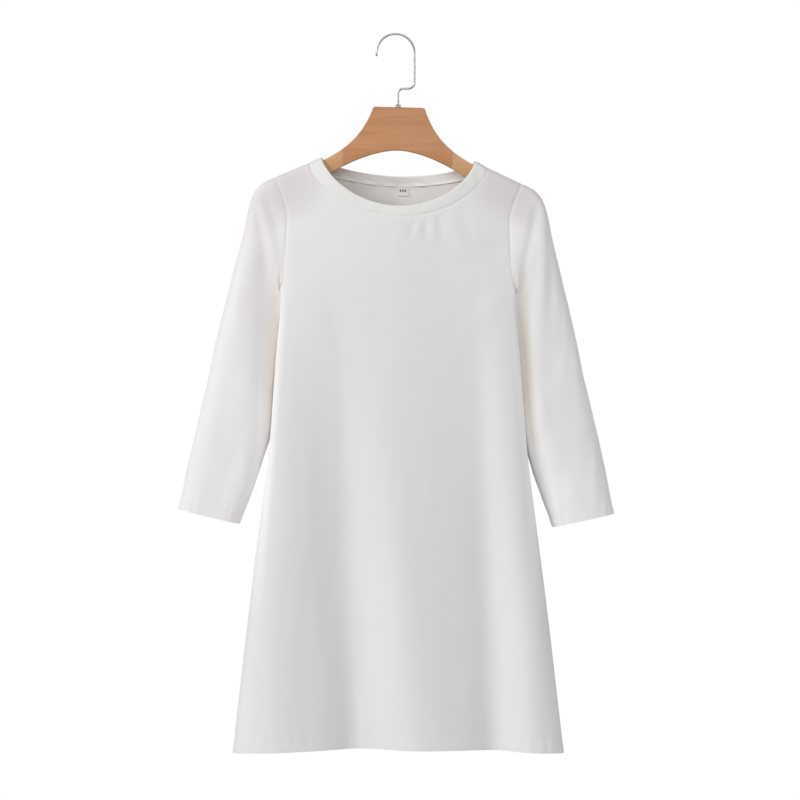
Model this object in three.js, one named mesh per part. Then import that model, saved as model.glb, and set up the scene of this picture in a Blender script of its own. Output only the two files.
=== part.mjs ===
// A plain sweatshirt dress with three-quarter sleeves, hung on a wooden hanger.
//
// Millimetres, +Z up. The origin is the inside top of the hook, where a rail carries it.
// The dress faces -Y and +X is the wearer's left. Garment sizes are given as x from the centre
// line, y towards the back, and drop, the distance below the origin.

import * as THREE from 'three';

// ---- Driving dimensions ------------------------------------------------------------------

const CLOTH = 1.6; // wall of the knit
const BAND_CLOTH = 2.2; // the neckband is folded double
const SEAM_GAP = 0.3; // between pieces that are sewn together
const CENTRE_X = 4.5; // the centre line hangs this far beside the hook's top
const TILT = Math.tan( THREE.MathUtils.degToRad( 1.5 ) ); // the +X shoulder hangs lower

const HEM_DROP = 997; // at the centre front
const HEM_SIDE_DIP = 6; // the hem hangs lower at the sides
const SHOULDER = { x: 173.3, drop: 203.7 }; // outer end of the shoulder seam
const NECK_SEAM = { x: 125, drop: 182.4, front: 255.6, back: 207.5 }; // half width and drops
const NECK_EDGE = { x: 107, drop: 173.2, front: 240.3, back: 196, yFront: - 34, yBack: 27 };
const NECK_ROUND = 1.3; // roundness of the neckline's scoop
const UNDERARM_DROP = 378;
const ARMHOLE_TURN = 340; // drop where the armhole seam starts to turn under the arm
const INNER_SHARE = 0.8; // share of a panel's half width that its inner columns take
const OUTER_WIDTH = 8; // least width left for the outer columns

const SHOULDER_ROLL = 10; // radius of the cloth over the hanger's arm
const FALL_LENGTH = 140; // how fast the cloth falls away from the shoulder line

const SLEEVE_ROUND = 3; // how square a sleeve's section is, 2 for an ellipse
const SLEEVE_LEAN = 0.0065; // both sleeves swing this much towards -X for each mm of drop

const LABEL = { width: 17, top: 209.5, bottom: 223, x: 6.7, wall: 0.8 };

const WOOD = { thick: 11, top: 101.5, bevel: 2, joint: 77, x: 1.2, tilt: Math.atan( TILT ) };
const WIRE = { radius: 1.4, bend: 26.6, shank: 41, crank: 9, neck: 7, foot: 101.2 };
const NUT = { radius: 3.9, bore: 1.7, height: 3.6 };

// ---- Tables and curves -------------------------------------------------------------------

// A table of sections: the first column is the key, the others are read between its rows along
// a smooth curve that never overshoots them.
function table( columns, rows ) {

	const slopes = columns.map( ( _, c ) => rows.map( ( row, k ) => {

		if ( k === 0 || k === rows.length - 1 ) {

			const [ a, b ] = k === 0 ? [ rows[ 0 ], rows[ 1 ] ] : [ rows[ k - 1 ], row ];
			return ( b[ c ] - a[ c ] ) / ( b[ 0 ] - a[ 0 ] );

		}

		const before = ( row[ c ] - rows[ k - 1 ][ c ] ) / ( row[ 0 ] - rows[ k - 1 ][ 0 ] );
		const after = ( rows[ k + 1 ][ c ] - row[ c ] ) / ( rows[ k + 1 ][ 0 ] - row[ 0 ] );
		return before * after <= 0 ? 0 : 2 * before * after / ( before + after );

	} ) );

	return ( key ) => {

		let k = 0;
		while ( k < rows.length - 2 && key > rows[ k + 1 ][ 0 ] ) k ++;

		const span = rows[ k + 1 ][ 0 ] - rows[ k ][ 0 ];
		const t = THREE.MathUtils.clamp( ( key - rows[ k ][ 0 ] ) / span, 0, 1 );
		const section = {};
		columns.forEach( ( name, c ) => {

			const rise = rows[ k + 1 ][ c ] - rows[ k ][ c ];
			const ease = t * t * ( 3 - 2 * t );
			const start = slopes[ c ][ k ] * span * t * ( 1 - t ) * ( 1 - t );
			const end = slopes[ c ][ k + 1 ] * span * t * t * ( 1 - t );
			const bend = rise * ease + start - end;
			section[ name ] = rows[ k ][ c ] + bend;

		} );
		return section;

	};

}

// The body. edge and edgeY: the front's rounded side edge. tuck and seamY: the side seam lies
// that far inside the edge, where the sleeve pushes it in. front and back: how far the cloth
// stands off the centre plane. round: how square the section is.
const bodyAt = table(
	[ 'drop', 'edge', 'edgeY', 'tuck', 'seamY', 'front', 'back', 'round' ],
	[
		[ 170, 215, 0, 0, 0, 48, 46, 3.2 ],
		[ 255, 213, 0, 0, 0, 48, 46, 3.4 ],
		[ 300, 196, 12, 8, 4, 47, 46, 3.8 ],
		[ 340, 167, 26, 10, 8, 46, 46, 4.5 ],
		[ 378, 163.5, 30, 23.5, 8, 45, 46, 5 ],
		[ 430, 168, 29, 22, 8, 44, 46, 5 ],
		[ 520, 175, 25, 18, 7, 43, 46, 5 ],
		[ 578, 179.5, 19, 10, 5, 43, 46, 5 ],
		[ 680, 192, 3, 0, 0, 43, 46, 5 ],
		[ 840, 212.5, 0, 0, 0, 45, 47, 5 ],
		[ 1003, 231, 0, 0, 0, 48, 50, 5 ],
	]
);

// The armhole seam on the front and the back panel: its half width down to ARMHOLE_TURN.
const armholeAt = table(
	[ 'drop', 'front', 'back' ],
	[
		[ 203.7, 173.3, 173.3 ],
		[ 230, 162, 165 ],
		[ 259, 155, 160 ],
		[ 301, 156.5, 155 ],
		[ 340, 160.5, 145 ],
	]
);

// The broad folds of the hanging cloth: x at the underarm and at the hem, the drop where the
// fold starts, how early it grows (1 is even), its widths towards -X and +X, and how far it
// stands out of the panel (in, if negative).
const foldTable = ( rows ) => rows.map( ( [ top, hem, start, early, before, after, height ] ) =>
	( { top, hem, start, early, before, after, height } ) );
const FOLDS = {
	front: foldTable( [
		[ - 158, - 172, 420, 0.7, 30, 40, 4 ],
		[ - 98, - 38, 360, 0.65, 84, 42, - 38 ],
		[ - 90, - 62, 400, 0.7, 28, 20, - 8 ],
		[ - 24, 22, 400, 0.6, 40, 60, 5 ],
		[ 104, 146, 285, 0.6, 84, 34, - 30 ],
		[ 104, 136, 300, 0.6, 22, 20, - 7 ],
		[ 140, 190, 320, 0.5, 30, 34, 6 ],
	] ),
	back: foldTable( [
		[ - 80, - 112, 360, 0.6, 30, 44, - 11 ],
		[ - 30, - 38, 430, 0.7, 50, 50, 6 ],
		[ 30, 48, 500, 0.7, 24, 36, - 9 ],
		[ 80, 142, 420, 0.7, 48, 48, 7 ],
	] ),
};

// Rings of the sleeve from the armhole (0) to the cuff (1). out and in: x and drop of the
// outer and the inner edge. front and back: half depths. mid: y of the ring's middle.
const sleeveAt = table(
	[ 'ring', 'outX', 'outDrop', 'inX', 'inDrop', 'front', 'back', 'mid' ],
	[
		[ 0, 173.3, 203.7, 140, 378, 24, 24, 2 ],
		[ 0.05, 190, 212.5, 149, 380, 25, 25, 2 ],
		[ 0.1, 201, 225, 148, 388, 27, 27, 2 ],
		[ 0.16, 208.5, 245, 149.5, 397, 30, 30, 3 ],
		[ 0.24, 215.5, 278, 149, 410, 32, 33, 4 ],
		[ 0.34, 225, 315, 152, 429, 34, 35, 6 ],
		[ 0.45, 236.5, 363, 157, 463, 33, 35, 5 ],
		[ 0.56, 248.5, 413, 164, 503, 32, 34, 4 ],
		[ 0.67, 260.5, 469, 171, 547, 31, 32, 2 ],
		[ 0.78, 274.5, 529, 185.5, 592, 29, 30, 2 ],
		[ 0.89, 289.5, 593, 201, 638.5, 28, 29, 3 ],
		[ 1, 304.8, 666.8, 219.3, 686.3, 28, 29, 3 ],
	]
);

const smooth = ( value, from, to ) => THREE.MathUtils.smoothstep( value, from, to );

// How much of the shoulders' tilt is left at a drop. The hem hangs level.
const tiltAt = ( drop ) => 1 - 0.6 * smooth( drop, 230, 690 ) - 0.4 * smooth( drop, 690, 990 );

// Places a point of the garment in the part's frame.
function place( x, y, drop ) {

	return new THREE.Vector3( CENTRE_X + x, y, - drop - TILT * x * tiltAt( drop ) );

}

// ---- Body surface ------------------------------------------------------------------------

const SHOULDER_SLOPE = ( SHOULDER.drop - NECK_SEAM.drop ) / ( SHOULDER.x - NECK_SEAM.x );

const shoulderDropAt = ( x ) => NECK_SEAM.drop + SHOULDER_SLOPE * ( Math.abs( x ) - NECK_SEAM.x );

// How far a panel's face stands off the centre plane at x and drop.
function standOff( panel, section, x, halfWidth, rimY ) {

	const below = Math.max( section.drop - shoulderDropAt( x ), 0 );
	const rolled = Math.min( below / SHOULDER_ROLL, 1 );
	const strap = SHOULDER_ROLL * Math.sqrt( 1 - ( 1 - rolled ) ** 2 );
	const merged = smooth( section.drop, 215, 315 );
	const fullness = section[ panel ] * ( 1 - Math.exp( - below / FALL_LENGTH ) );
	const across = Math.min( Math.abs( x ) / halfWidth, 1 );
	const lens = ( 1 - across ** section.round ) ** ( 1 / section.round );
	return rimY + strap * ( 1 - merged ) + ( fullness + strap * merged - rimY ) * lens;

}

function foldHeight( panel, section, x ) {

	const down = ( section.drop - UNDERARM_DROP ) / ( HEM_DROP - UNDERARM_DROP );
	const side = 1 - ( Math.abs( x ) / section.edge ) ** 6;
	return FOLDS[ panel ].reduce( ( sum, fold ) => {

		const off = x - fold.top - ( fold.hem - fold.top ) * down;
		const away = off / ( off < 0 ? fold.before : fold.after );
		const grown = smooth( section.drop, fold.start, HEM_DROP + 60 ) ** fold.early;
		return sum + fold.height * grown * side * Math.exp( - away * away );

	}, 0 );

}

// Half of a panel's section at a drop, from the centre line to the side seam, as x and y.
function halfSection( panel, drop, side ) {

	const section = bodyAt( drop );
	const towards = panel === 'front' ? - 1 : 1;
	const halfWidth = panel === 'front' ? section.edge : section.edge - section.tuck;
	const rimY = panel === 'front' ? section.edgeY : section.seamY;
	const points = [];
	const faceSteps = 48;
	for ( let k = 0; k <= faceSteps; k ++ ) {

		const x = halfWidth * Math.sin( k / faceSteps * Math.PI / 2 );
		const out = standOff( panel, section, x, halfWidth, rimY ) + foldHeight( panel, section, side * x );
		points.push( new THREE.Vector2( side * x, towards * out ) );

	}

	const wrapSteps = 12;
	for ( let k = 1; panel === 'front' && k <= wrapSteps; k ++ ) {

		const turn = k / wrapSteps;
		const x = section.edge - section.tuck * smooth( turn, 0, 0.8 );
		const y = THREE.MathUtils.lerp( - section.edgeY, section.seamY, turn ** 1.5 );
		points.push( new THREE.Vector2( side * x, y ) );

	}

	return points;

}

function lengthsAlong( points ) {

	const lengths = [ 0 ];
	for ( let k = 1; k < points.length; k ++ ) {

		lengths.push( lengths[ k - 1 ] + points[ k ].distanceTo( points[ k - 1 ] ) );

	}

	return lengths;

}

// The point at a length along a half section.
function walk( points, lengths, length ) {

	let k = 1;
	while ( k < points.length - 1 && lengths[ k ] < length ) k ++;

	const t = ( length - lengths[ k - 1 ] ) / ( lengths[ k ] - lengths[ k - 1 ] );
	return points[ k - 1 ].clone().lerp( points[ k ], t );

}

// Length along a half section to the point where it first reaches x.
function lengthTo( points, lengths, x ) {

	let k = 1;
	while ( k < points.length - 1 && Math.abs( points[ k ].x ) < x ) k ++;

	const [ a, b ] = [ Math.abs( points[ k - 1 ].x ), Math.abs( points[ k ].x ) ];
	const t = THREE.MathUtils.clamp( ( x - a ) / ( b - a ), 0, 1 );
	return THREE.MathUtils.lerp( lengths[ k - 1 ], lengths[ k ], t );

}

// Length from the centre line to the panel's side: the armhole seam, which turns under the arm
// along a quarter round, or the side seam below it.
function panelReach( panel, drop, points, lengths ) {

	const whole = lengths.at( - 1 );
	if ( drop >= UNDERARM_DROP ) return whole;

	const seamX = armholeAt( Math.min( drop, ARMHOLE_TURN ) )[ panel ];
	const onFace = lengthTo( points, lengths, seamX );
	const turn = Math.max( drop - ARMHOLE_TURN, 0 ) / ( UNDERARM_DROP - ARMHOLE_TURN );
	return THREE.MathUtils.lerp( onFace, whole, 1 - Math.sqrt( 1 - turn * turn ) );

}

// Drop of a panel's upper edge at x: the neckline, or the shoulder seam beside it.
function upperDropAt( panel, x ) {

	if ( Math.abs( x ) >= NECK_SEAM.x ) return shoulderDropAt( x );

	const scoop = ( 1 - ( x / NECK_SEAM.x ) ** 2 ) ** ( NECK_ROUND / 2 );
	return NECK_SEAM.drop + ( NECK_SEAM[ panel ] - NECK_SEAM.drop ) * scoop;

}

// A half section of a panel with its running lengths and its length to the panel's side.
function measured( panel, drop, side ) {

	const points = halfSection( panel, drop, side );
	const lengths = lengthsAlong( points );
	return { points, lengths, reach: panelReach( panel, drop, points, lengths ) };

}

// Length along a half section at a share of its width above the underarm. The inner columns
// open out gradually, and the outer ones close up on the armhole seam.
function spreadOut( share, section, level ) {

	const { lengths, reach } = section;
	const opened = THREE.MathUtils.lerp( reach, lengths.at( - 1 ), smooth( level, 250, UNDERARM_DROP ) );
	const inner = Math.min( INNER_SHARE * opened, reach - OUTER_WIDTH );
	if ( share <= INNER_SHARE ) return inner * share / INNER_SHARE;

	return THREE.MathUtils.lerp( inner, reach, ( share - INNER_SHARE ) / ( 1 - INNER_SHARE ) );

}

// A point of a panel as x, y and drop. across is -1 and 1 at its sides. Levels above the
// underarm close up towards the upper edge, and the last ones follow the hem.
function panelPoint( panel, across, level ) {

	const side = Math.sign( across ) || 1;
	const upperX = Math.abs( across ) * SHOULDER.x;
	const upper = upperDropAt( panel, upperX );
	if ( level >= UNDERARM_DROP ) {

		const drop = level + HEM_SIDE_DIP * across * across * smooth( level, 700, HEM_DROP );
		const section = measured( panel, drop, side );
		const at = walk( section.points, section.lengths, Math.abs( across ) * section.reach );
		return { x: at.x, y: at.y, drop };

	}

	if ( level === SHOULDER.drop && upperX >= NECK_SEAM.x ) return { x: side * upperX, y: 0, drop: upper };

	const above = ( UNDERARM_DROP - level ) / ( UNDERARM_DROP - SHOULDER.drop );
	const drop = UNDERARM_DROP - ( UNDERARM_DROP - upper ) * above;
	const top = measured( panel, upper, side );
	const topShare = lengthTo( top.points, top.lengths, upperX ) / top.reach;
	const section = measured( panel, drop, side );
	const share = THREE.MathUtils.lerp( Math.abs( across ), topShare, smooth( above, 0, 1 ) );
	const at = walk( section.points, section.lengths, spreadOut( share, section, level ) );
	return { x: at.x, y: at.y, drop };

}

// ---- Cloth walls -------------------------------------------------------------------------

// Makes a closed mesh from vertices and triangles.
function solid( name, vertices, triangles, material ) {

	const geometry = new THREE.BufferGeometry();
	const positions = vertices.flatMap( ( vertex ) => vertex.toArray() );
	geometry.setAttribute( 'position', new THREE.Float32BufferAttribute( positions, 3 ) );
	geometry.setIndex( triangles.flat() );
	geometry.computeVertexNormals();
	const mesh = new THREE.Mesh( geometry, material );
	mesh.name = name;
	return mesh;

}

const quad = ( a, b, c, d ) => [ [ a, b, c ], [ a, c, d ] ];

// A wall between two grids of points, outer and inner. Rows run down and columns run so that
// the outer face looks out. A round wall's last column joins its first.
function wall( name, outer, inner, round, material ) {

	const rows = outer.length;
	const columns = outer[ 0 ].length;
	const out = ( i, j ) => i * columns + j % columns;
	const into = ( i, j ) => rows * columns + out( i, j );
	const triangles = [];
	const steps = round ? columns : columns - 1;
	for ( let j = 0; j < steps; j ++ ) {

		for ( let i = 0; i < rows - 1; i ++ ) {

			triangles.push( ...quad( out( i, j ), out( i + 1, j ), out( i + 1, j + 1 ), out( i, j + 1 ) ) );
			triangles.push( ...quad( into( i, j ), into( i, j + 1 ), into( i + 1, j + 1 ), into( i + 1, j ) ) );

		}

		const last = rows - 1;
		triangles.push( ...quad( out( 0, j ), out( 0, j + 1 ), into( 0, j + 1 ), into( 0, j ) ) );
		triangles.push( ...quad( out( last, j ), into( last, j ), into( last, j + 1 ), out( last, j + 1 ) ) );

	}

	for ( let i = 0; ! round && i < rows - 1; i ++ ) {

		const last = columns - 1;
		triangles.push( ...quad( out( i, 0 ), into( i, 0 ), into( i + 1, 0 ), out( i + 1, 0 ) ) );
		triangles.push( ...quad( out( i, last ), out( i + 1, last ), into( i + 1, last ), into( i, last ) ) );

	}

	return solid( name, [ ...outer.flat(), ...inner.flat() ], triangles, material );

}

// Outward direction of a surface, a function of two parameters, at u and v. The steps lead to
// close neighbours, and u runs to the right of v when seen from outside.
function outward( surface, u, v, stepU, stepV ) {

	const here = surface( u, v );
	const along = surface( u + stepU, v ).sub( here ).multiplyScalar( Math.sign( stepU ) );
	const down = surface( u, v + stepV ).sub( here ).multiplyScalar( Math.sign( stepV ) );
	return down.cross( along ).normalize();

}

// ---- Panels ------------------------------------------------------------------------------

const NECK_COLUMNS = [ 0, 0.13, 0.26, 0.38, 0.49, 0.58, 0.65, 0.695, 0.714, NECK_SEAM.x / SHOULDER.x ];
const HALF_COLUMNS = [ ...NECK_COLUMNS, INNER_SHARE, 0.87, 0.94, 1 ];
const ARMHOLE_LEVELS = [ 203.7, 206, 211, 222, 242, 266, 292, 318, 340, 356, 368, 375, UNDERARM_DROP ];
const LEVELS = [ ...ARMHOLE_LEVELS, 400, 440, 490, 550, 620, 695, 770, 840, 905, 957, HEM_DROP ];

const bothSides = ( half ) => [ ...half.slice( 1 ).map( ( across ) => - across ).reverse(), ...half ];

function panelPlace( panel, across, level ) {

	const at = panelPoint( panel, across, level );
	return place( at.x, at.y, at.drop );

}

// Direction into the cloth's thickness at the armhole seam. It lies across the seam, so the
// panels and the sleeve end on the same line inside and outside.
function armholeInward( panel, level ) {

	if ( level === SHOULDER.drop ) return new THREE.Vector3( 0, 0, - 1 );
	if ( level === UNDERARM_DROP ) return new THREE.Vector3( 0, 0, 1 );

	const step = 0.5;
	const above = panelPoint( panel, 1, level - step );
	const below = panelPoint( panel, 1, level + step );
	const towards = panel === 'front' ? 1 : - 1;
	const alongY = below.y - above.y;
	const alongDrop = below.drop - above.drop;
	return new THREE.Vector3( 0, towards * alongDrop, towards * alongY ).normalize();

}

// Direction from a point of a panel into its thickness.
function panelInward( panel, across, level ) {

	if ( Math.abs( across ) === 1 && level <= UNDERARM_DROP ) return armholeInward( panel, level );
	if ( level === SHOULDER.drop && Math.abs( across ) >= NECK_COLUMNS.at( - 1 ) ) {

		return new THREE.Vector3( - Math.sign( across ) * SHOULDER_SLOPE, 0, - 1 ).normalize();

	}

	const surface = ( u, v ) => panelPlace( panel, u, v );
	const stepU = across > 0 ? - 0.003 : 0.003;
	const stepV = level === SHOULDER.drop ? 0.05 : - 0.05;
	return outward( surface, across, level, stepU, stepV ).multiplyScalar( panel === 'front' ? - 1 : 1 );

}

function bodyPanel( name, panel ) {

	const columns = bothSides( HALF_COLUMNS );
	if ( panel === 'back' ) columns.reverse();

	const seamShare = ( panel === 'front' ? - SEAM_GAP : SEAM_GAP ) / 2;
	const shift = new THREE.Vector3( 0, seamShare, 0 );
	const outer = LEVELS.map( ( level ) =>
		columns.map( ( across ) => panelPlace( panel, across, level ).add( shift ) ) );
	const inner = LEVELS.map( ( level, i ) => columns.map( ( across, j ) =>
		outer[ i ][ j ].clone().addScaledVector( panelInward( panel, across, level ), CLOTH ) ) );
	return wall( name, outer, inner, false, cloth );

}

// ---- Sleeves -----------------------------------------------------------------------------

const RINGS = [ 0, 0.04, 0.09, 0.15, 0.23, 0.33, 0.45, 0.58, 0.71, 0.85, 1 ];

// A point of a sleeve as x, y and drop. The station is a level of the armhole on the front or
// the back. Rings are squarish ellipses, and the first lead over from the armhole's own line.
function sleevePoint( side, panel, level, ring ) {

	const half = ( UNDERARM_DROP - SHOULDER.drop ) / 2;
	const turn = THREE.MathUtils.clamp( ( SHOULDER.drop + half - level ) / half, - 1, 1 );
	const cos = Math.sign( turn ) * Math.abs( turn ) ** ( 2 / SLEEVE_ROUND );
	const sin = ( 1 - turn * turn ) ** ( 1 / SLEEVE_ROUND );
	const ellipse = ( at ) => ( {
		x: ( at.outX + at.inX ) / 2 + ( at.outX - at.inX ) / 2 * cos,
		y: at.mid + ( panel === 'front' ? - at.front : at.back ) * sin,
		drop: ( at.outDrop + at.inDrop ) / 2 + ( at.outDrop - at.inDrop ) / 2 * cos,
	} );
	const seam = panelPoint( panel, 1, level );
	const [ first, here ] = [ ellipse( sleeveAt( 0 ) ), ellipse( sleeveAt( ring ) ) ];
	const kept = 1 - smooth( ring, 0, 0.35 );
	const drop = here.drop + ( seam.drop - first.drop ) * kept;
	const x = here.x + ( seam.x - first.x ) * kept;
	const lean = SLEEVE_LEAN * ( drop - SHOULDER.drop ) * ( 1 - kept );
	return { x: side * x - lean, y: here.y + ( seam.y - first.y ) * kept, drop };

}

function sleeve( name, side ) {

	const front = ARMHOLE_LEVELS.map( ( level ) => [ 'front', level ] );
	const back = ARMHOLE_LEVELS.slice( 1, - 1 ).reverse().map( ( level ) => [ 'back', level ] );
	const stations = [ ...front, ...back ];
	if ( side > 0 ) stations.reverse();

	const gap = new THREE.Vector3( side * SEAM_GAP, 0, 0 );
	const outer = RINGS.map( ( ring ) => stations.map( ( [ panel, level ] ) => {

		const at = sleevePoint( side, panel, level, ring );
		return place( at.x, at.y, at.drop ).add( gap );

	} ) );
	const count = stations.length;
	const inner = outer.map( ( row, i ) => row.map( ( point, j ) => {

		if ( i === 0 ) return point.clone().addScaledVector( armholeInward( ...stations[ j ] ), CLOTH );

		const along = row[ ( j + 1 ) % count ].clone().sub( row[ ( j + count - 1 ) % count ] );
		const down = outer[ Math.min( i + 1, RINGS.length - 1 ) ][ j ].clone().sub( outer[ i - 1 ][ j ] );
		return point.clone().addScaledVector( along.cross( down ).normalize(), CLOTH );

	} ) );
	return wall( name, outer, inner, true, cloth );

}

// ---- Neckband and label ------------------------------------------------------------------

// A point of the neckband above a panel's neckline: rise is 0 at its seam and 1 at its edge.
function bandPoint( panel, across, rise ) {

	const seam = panelPoint( panel, across, SHOULDER.drop );
	const from = place( seam.x, seam.y, seam.drop );
	const share = seam.x / NECK_SEAM.x;
	const centre = Math.sqrt( Math.max( 1 - share * share, 0 ) );
	const edgeY = panel === 'front' ? NECK_EDGE.yFront : NECK_EDGE.yBack;
	const edgeDrop = NECK_EDGE.drop + ( NECK_EDGE[ panel ] - NECK_EDGE.drop ) * centre ** NECK_ROUND;
	const to = place( share * NECK_EDGE.x, edgeY * centre ** 0.6, edgeDrop );
	const width = to.distanceTo( from );
	return from.lerp( to, ( SEAM_GAP + rise * ( width - SEAM_GAP ) ) / width );

}

function neckband( name ) {

	const front = bothSides( NECK_COLUMNS ).map( ( across ) => [ 'front', across ] );
	const back = bothSides( NECK_COLUMNS ).slice( 1, - 1 ).reverse().map( ( across ) => [ 'back', across ] );
	const stations = [ ...front, ...back ];
	const count = stations.length;
	const rises = [ 1, 0.5, 0 ];
	const outer = rises.map( ( rise ) =>
		stations.map( ( [ panel, across ] ) => bandPoint( panel, across, rise ) ) );
	const inner = outer.map( ( row, i ) => row.map( ( point, j ) => {

		const [ panel, across ] = stations[ j ];
		if ( rises[ i ] === 0 ) {

			return point.clone().addScaledVector( panelInward( panel, across, SHOULDER.drop ), BAND_CLOTH );

		}

		const along = row[ ( j + 1 ) % count ].clone().sub( row[ ( j + count - 1 ) % count ] );
		const down = outer[ i + 1 ][ j ].clone().sub( point );
		return point.clone().addScaledVector( along.cross( down ).normalize(), BAND_CLOTH );

	} ) );
	return wall( name, outer, inner, true, bandCloth );

}

// The label lies on the inside of the back panel, so it is made from that panel's points.
function neckLabel( name ) {

	const widths = [ - 0.5, 0, 0.5 ];
	const drops = [ LABEL.top, ( LABEL.top + LABEL.bottom ) / 2, LABEL.bottom ];
	const layer = ( depth ) => drops.map( ( drop ) => widths.map( ( w ) => {

		const x = LABEL.x + w * LABEL.width;
		const section = measured( 'back', drop, 1 );
		const length = lengthTo( section.points, section.lengths, Math.abs( x ) );
		const at = walk( section.points, section.lengths, length );
		return place( x, at.y - CLOTH - SEAM_GAP - depth, drop );

	} ) );
	return wall( name, layer( LABEL.wall ), layer( 0 ), false, tape );

}

// ---- Hanger ------------------------------------------------------------------------------

// The hanger's outline in its own frame: x from the middle, and down from its top.
const topEdge = [
	...new THREE.CubicBezierCurve(
		new THREE.Vector2( 38, 6.6 ), new THREE.Vector2( 51.3, 40 ),
		new THREE.Vector2( 70.1, 58.4 ), new THREE.Vector2( 100.7, 75 )
	).getPoints( 12 ),
	new THREE.Vector2( 184, 113.6 ),
];
const lowerEdge = [
	...new THREE.CubicBezierCurve(
		new THREE.Vector2( 0, 60.2 ), new THREE.Vector2( 30, 60.2 ),
		new THREE.Vector2( 70, 78.5 ), new THREE.Vector2( 94.5, 95 )
	).getPoints( 12 ),
	new THREE.Vector2( 125, 109.5 ),
	new THREE.Vector2( 160, 124 ),
	new THREE.Vector2( 180, 131 ),
];

// The points of an edge between two values of x, with its ends on them.
function edgeBetween( edge, from, to ) {

	const heightAt = ( x ) => {

		let k = 1;
		while ( k < edge.length - 1 && edge[ k ].x < x ) k ++;

		const t = ( x - edge[ k - 1 ].x ) / ( edge[ k ].x - edge[ k - 1 ].x );
		return THREE.MathUtils.lerp( edge[ k - 1 ].y, edge[ k ].y, t );

	};
	const within = edge.filter( ( point ) => point.x > from + 0.5 && point.x < to - 0.5 );
	return [ new THREE.Vector2( from, heightAt( from ) ), ...within, new THREE.Vector2( to, heightAt( to ) ) ];

}

// Turns the hanger's outline into a board, tilted with the shoulders.
function board( name, outline, side, material ) {

	const shape = new THREE.Shape( outline.map( ( point ) => new THREE.Vector2( side * point.x, - point.y ) ) );
	const geometry = new THREE.ExtrudeGeometry( shape, {
		depth: WOOD.thick - 2 * WOOD.bevel,
		bevelThickness: WOOD.bevel,
		bevelSize: WOOD.bevel,
		bevelOffset: - WOOD.bevel,
		bevelSegments: 2,
	} );
	geometry.translate( 0, 0, WOOD.bevel - WOOD.thick / 2 );
	const mesh = new THREE.Mesh( geometry, material );
	mesh.name = name;
	mesh.rotation.set( Math.PI / 2, WOOD.tilt, 0, 'YXZ' );
	mesh.position.set( CENTRE_X + WOOD.x, 0, - WOOD.top );
	return mesh;

}

function hangerCentre( name ) {

	const top = edgeBetween( topEdge, topEdge[ 0 ].x, WOOD.joint );
	const lower = edgeBetween( lowerEdge, 0, WOOD.joint );
	const corner = [ new THREE.Vector2( 33.5, 0 ), new THREE.Vector2( 36.5, 2.2 ) ];
	const half = [ ...corner, ...top, ...lower.reverse() ];
	const mirrored = half.slice( 0, - 1 ).reverse().map( ( point ) => new THREE.Vector2( - point.x, point.y ) );
	return board( name, [ ...half, ...mirrored ], 1, beech );

}

function hangerArm( name, side ) {

	const start = WOOD.joint + SEAM_GAP;
	const top = edgeBetween( topEdge, start, topEdge.at( - 1 ).x );
	const lower = edgeBetween( lowerEdge, start, lowerEdge.at( - 1 ).x );
	const tip = [ new THREE.Vector2( 189, 118 ), new THREE.Vector2( 188, 127 ) ];
	return board( name, [ ...top, ...tip, ...lower.reverse() ], side, paleBeech );

}

// A flat path of arcs and lines, stood up in the XZ plane.
class UprightCurve extends THREE.Curve {

	constructor( path ) {

		super();
		this.path = path;

	}

	getPoint( t, target = new THREE.Vector3() ) {

		const at = this.path.getPoint( t );
		return target.set( at.x, 0, at.y );

	}

}

// The hook: round over the rail, down a straight shank, in along a crank and down its neck.
function hook( name ) {

	const centre = new THREE.Vector2( 0.8, WIRE.radius - WIRE.bend );
	const right = centre.x + WIRE.bend;
	const crankDrop = centre.y - WIRE.shank - WIRE.crank;
	const path = new THREE.Path();
	path.absarc( centre.x, centre.y, WIRE.bend, Math.PI * 1.04, 0, true );
	path.lineTo( right, centre.y - WIRE.shank );
	path.absarc( right - WIRE.crank, centre.y - WIRE.shank, WIRE.crank, 0, - Math.PI / 2, true );
	path.lineTo( CENTRE_X + WIRE.neck, crankDrop );
	path.absarc( CENTRE_X + WIRE.neck, crankDrop - WIRE.neck, WIRE.neck, Math.PI / 2, Math.PI, false );
	path.lineTo( CENTRE_X, - WIRE.foot );
	const round = new THREE.Shape().absarc( 0, 0, WIRE.radius, 0, Math.PI * 2 );
	const geometry = new THREE.ExtrudeGeometry( round, {
		steps: 56,
		curveSegments: 4,
		extrudePath: new UprightCurve( path ),
	} );
	const mesh = new THREE.Mesh( geometry, steel );
	mesh.name = name;
	return mesh;

}

function hookNut( name ) {

	const { radius, bore, height } = NUT;
	const profile = [ [ bore, 0 ], [ radius, 0 ], [ radius, height ], [ bore, height ], [ bore, 0 ] ];
	const geometry = new THREE.LatheGeometry( profile.map( ( [ r, h ] ) => new THREE.Vector2( r, h ) ), 12 );
	const mesh = new THREE.Mesh( geometry, steel );
	mesh.name = name;
	mesh.rotation.x = Math.PI / 2;
	mesh.position.set( CENTRE_X, 0, - WOOD.top + SEAM_GAP );
	return mesh;

}

// ---- The whole part ----------------------------------------------------------------------

const cloth = new THREE.MeshStandardMaterial( { color: 0xf4f2f2, roughness: 0.85, metalness: 0 } );
const bandCloth = new THREE.MeshStandardMaterial( { color: 0xf1f1ef, roughness: 0.8, metalness: 0 } );
const tape = new THREE.MeshStandardMaterial( { color: 0xfafafa, roughness: 0.6, metalness: 0 } );
const beech = new THREE.MeshStandardMaterial( { color: 0xc18d63, roughness: 0.45, metalness: 0 } );
const paleBeech = new THREE.MeshStandardMaterial( { color: 0xc99a6c, roughness: 0.45, metalness: 0 } );
const steel = new THREE.MeshStandardMaterial( { color: 0xb1afad, roughness: 0.3, metalness: 1 } );

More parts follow.
